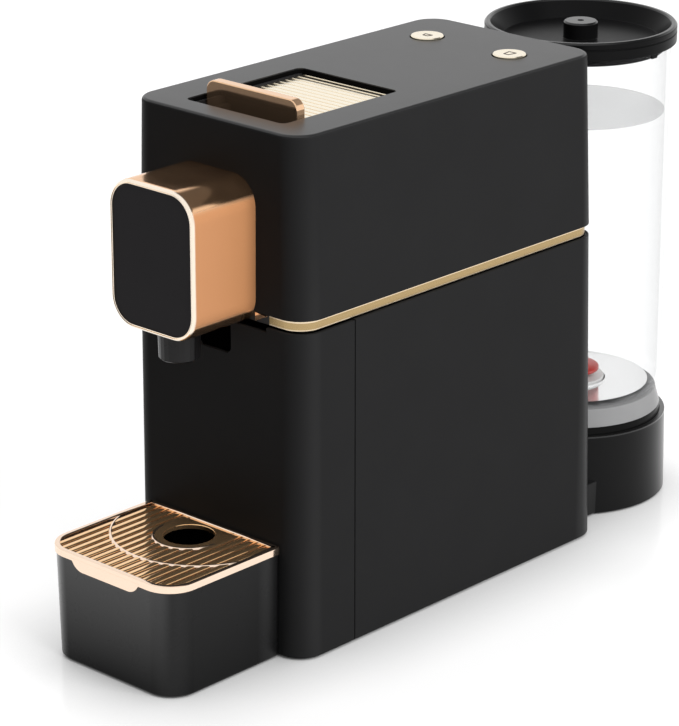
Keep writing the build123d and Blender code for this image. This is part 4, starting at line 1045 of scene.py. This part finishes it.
red = moulded("red_plastic", (0.42, 0.03, 0.022), (0.48, 0.04, 0.03), rough=0.3, gloss=0.5)
poppet_low, poppet_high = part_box("valve_poppet")
poppet_radius = poppet_high.x
poppet_foot = 0.0052
poppet_stem = 0.0022
foot_top = poppet_low.z + 0.0016
dome_crown = 0.0022
dome_steps = 10
dome_edge = poppet_high.z - dome_crown
dome_under = dome_edge - 0.0012
dome_turns = [step * pi / (2 * dome_steps) for step in range(dome_steps)]
dome = [(poppet_radius * cos(turn), dome_edge + dome_crown * sin(turn)) for turn in dome_turns]
poppet = turned([(0, poppet_low.z), (poppet_foot, poppet_low.z), (poppet_foot, foot_top),
                 (poppet_stem, foot_top), (poppet_stem, dome_under), (poppet_radius, dome_under)]
                + dome + [(0, poppet_high.z)], tank_y, 64, closed=False)
piece("valve_dome", poppet, red, "tank_valve", ["valve_poppet"])


def still_water(name, level, floor):
    """Water seen through the tank: almost clear, with a grey top painted as its reflection and a pale
    mirror floor painted as light through the tank's floor.
    """
    top_skin, floor_skin = 0.0002, 0.0006
    material, shade, output = new_finish(name)
    place = shade.node("TexCoord", output="Object")
    height = axes(shade, place).other("Z")
    # The grey, half-opaque top is a painted reflection of the surround on the water's surface.
    top = height > level - top_skin
    bottom = height < floor + floor_skin
    # The pale, mirrored floor is painted light, standing in for the light seen through the tank's floor.
    tone = blend(shade, bottom, (0.36, 0.365, 0.37), (0.97, 0.97, 0.97))
    return surface(material, shade, output, {
        "Base Color": tone, "Roughness": 0.12, "Metallic": bottom * 0.85,
        "Alpha": 0.006 + top * 0.5 + bottom * 0.99})


water_gap = 0.0003
water_level = 0.202
water_radius = tank_radius - tank_wall - water_gap
water_floor = tank_floor + water_gap
water_bend = 0.0017
valve_room = 0.0172
valve_headroom = poppet_high.z + 0.001
water = turned([(0, valve_headroom), (valve_room, valve_headroom), (valve_room, water_floor),
                (water_radius - shoulder_inner, water_floor),
                (water_radius - water_bend, water_floor + water_bend),
                (water_radius, water_floor + shoulder_inner), (water_radius - water_gap, water_level),
                (0, water_level)], tank_y, tank_steps, closed=False)
piece("water", water, still_water("still_water", water_level, water_floor), "tank")


# Tank lid
# A dished lid in black plastic with a turned knob in the middle. Its skirt goes round the tube, its plug
# with a rubber ring goes inside, and a small catch hangs at its right edge.
lid_low, lid_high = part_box("tank_lid")
lid_black = moulded("lid_black", (0.005, 0.005, 0.0052), (0.007, 0.007, 0.0072), rough=0.3, gloss=0.06,
                    depth=0.000006, rubbed=dict(low=lid_low, high=lid_high, roof_gloss=0.8))
lid_radius = lid_high.x
lid_edge = 0.001
lid_shelf = shell_high.z + 0.0003
line_depth = 0.0005
line_low = lid_high.z - 0.004
line_high = lid_high.z - 0.0032
skirt_inner = 0.0457
skirt_low = lid_high.z - 0.009
dish_radius = lid_radius - 0.0026
dish_floor = lid_high.z - 0.0085
dish_under = dish_floor - 0.0022
dish_floor_radius = 0.0396
plug_radius = 0.0422
plug_inner = dish_floor_radius - 0.002
knob_radius = 0.0086
knob_edge = 0.0008
pip_radius = 0.0016
pip_floor = lid_high.z - 0.0006
lid = turned([
    (0, dish_under), (plug_inner, dish_under), (plug_inner, lid_low.z), (plug_radius, lid_low.z),
    (plug_radius, lid_shelf), (skirt_inner, lid_shelf), (skirt_inner, skirt_low),
    (lid_radius, skirt_low), (lid_radius, line_low), (lid_radius - line_depth, line_low),
    (lid_radius - line_depth, line_high), (lid_radius, line_high), (lid_radius, lid_high.z - lid_edge),
    (lid_radius - lid_edge, lid_high.z),
    (dish_radius, lid_high.z), (dish_floor_radius, dish_floor), (knob_radius, dish_floor),
    (knob_radius, lid_high.z - knob_edge), (knob_radius - knob_edge, lid_high.z),
    (pip_radius, lid_high.z), (pip_radius, pip_floor), (0, pip_floor)], tank_y, tank_steps, closed=False)
piece("lid_dished", lid, lid_black, "lid", ["tank_lid"], edge=0.0004, segments=3)

catch_half = 0.0006
catch_tip = 0.002
catch_root = 0.003
catch_low = skirt_low - 0.0025
catch_high = skirt_low + 0.0005
catch_x = lid_radius - 0.0016
catch = drafted_box((catch_half, tank_y - catch_tip, tank_y + catch_tip, catch_low),
                    (catch_half, tank_y - catch_root, tank_y + catch_root, catch_high))
bmesh.ops.translate(catch, verts=catch.verts, vec=(catch_x, 0, 0))
round_edges(catch, catch.edges[:], plate_edge, 2)
piece("lid_catch", catch, lid_black, "lid")


# Studio
# A white table and a white surround, with a dark patch overhead, behind and to the right, for the
# plating to mirror. Large soft lamps stand at the right, above and at the left, and mirrors don't show
# them.
def watched(shade):
    """One for rays that come from the camera, a reflection or a clear part, and zero for the rest."""
    ray = shade.node("LightPath", output="Is Camera Ray")
    return (ray + ray.other("Is Glossy Ray") + ray.other("Is Transmission Ray")) > 0.5


table_size = 12.0
table_glow = 0.655
table_grid = bmesh.new()
bmesh.ops.create_grid(table_grid, x_segments=1, y_segments=1, size=table_size / 2)
table_mesh = bpy.data.meshes.new("table")
table_grid.to_mesh(table_mesh)
table_grid.free()
table = bpy.data.objects.new("table", table_mesh)
bpy.context.collection.objects.link(table)
table_finish, shade, output = new_finish("white_table")
lit = shade.node("BsdfPrincipled", None,
                 {"Base Color": (0.45, 0.45, 0.45, 1), "Roughness": 0.14, "Specular IOR Level": 0.3})
# The table's glow fades by ambient occlusion near the machine: a painted contact shadow.
contact_shadow_ao = shade.node("AmbientOcclusion", {"samples": 8}, {"Distance": 0.05}, output="AO")
glow = shade.node("Emission", None,
                  {"Color": (1, 1, 1, 1), "Strength": watched(shade) * contact_shadow_ao * table_glow})
summed = shade.node("AddShader", None, {0: lit, 1: glow})
table_finish.node_tree.links.new(summed.socket, output.inputs["Surface"])
table_mesh.materials.append(table_finish)

fill = 0.08
ceiling = 0.1
patch_height = (0.45, 0.55)
patch_side = (-0.6, -0.35)
patch_back = (0.0, 0.3)
world = bpy.data.worlds.new("surround")
bpy.context.scene.world = world
world.use_nodes = True
world.node_tree.nodes.clear()
sky = Shade(world.node_tree)
seen = sky.node("LightPath", output="Is Camera Ray")
mirrored = (seen.other("Is Glossy Ray") + seen.other("Is Transmission Ray")) > 0.5
heading = axes(sky, sky.node("TexCoord", output="Generated"))
overhead = ramp(sky, heading.other("Z"), *patch_height)
to_right = ramp(sky, heading, *patch_side)
behind = ramp(sky, heading.other("Y"), *patch_back)
shadow = overhead * to_right * behind * (1 - ceiling)
bright = seen.at_least(mirrored * (1 - shadow)).at_least(fill)
back = sky.node("Background", None, {"Color": (1, 1, 1, 1), "Strength": bright})
world_output = world.node_tree.nodes.new("ShaderNodeOutputWorld")
world.node_tree.links.new(back.socket, world_output.inputs["Surface"])


def softbox(name, place, target, width, height, power):
    """A rectangular lamp at a place, turned towards a target."""
    lamp = bpy.data.lights.new(name, "AREA")
    lamp.shape = "RECTANGLE"
    lamp.size = width
    lamp.size_y = height
    lamp.energy = power
    stand = bpy.data.objects.new(name, lamp)
    bpy.context.collection.objects.link(stand)
    stand.location = place
    stand.rotation_euler = (Vector(target) - Vector(place)).to_track_quat("-Z", "Y").to_euler()
    stand.visible_glossy = False


middle = (0, 0, 0.12)
softbox("right_lamp", (1.4, -0.08, 1.05), middle, width=1.1, height=1.1, power=26)
softbox("top_lamp", (0.0, 0.25, 1.9), middle, width=1.2, height=1.2, power=13)
softbox("left_lamp", (-1.6, 0.3, 1.0), middle, width=1.2, height=1.0, power=13)

azimuth = radians(42.917)
elevation = radians(19.931)
away = Vector((sin(azimuth) * cos(elevation), -cos(azimuth) * cos(elevation), sin(elevation)))
lens = bpy.data.cameras.new("camera")
lens.sensor_fit = "VERTICAL"
lens.sensor_height = 36
lens.lens = 162.64
lens.clip_end = 50
camera = bpy.data.objects.new("camera", lens)
bpy.context.collection.objects.link(camera)
camera.location = (0.9974, front_wall - 0.9891, 0.6429)
camera.rotation_euler = (-away).to_track_quat("-Z", "Y").to_euler()
bpy.context.scene.camera = camera
bpy.context.scene.view_settings.view_transform = "Standard"
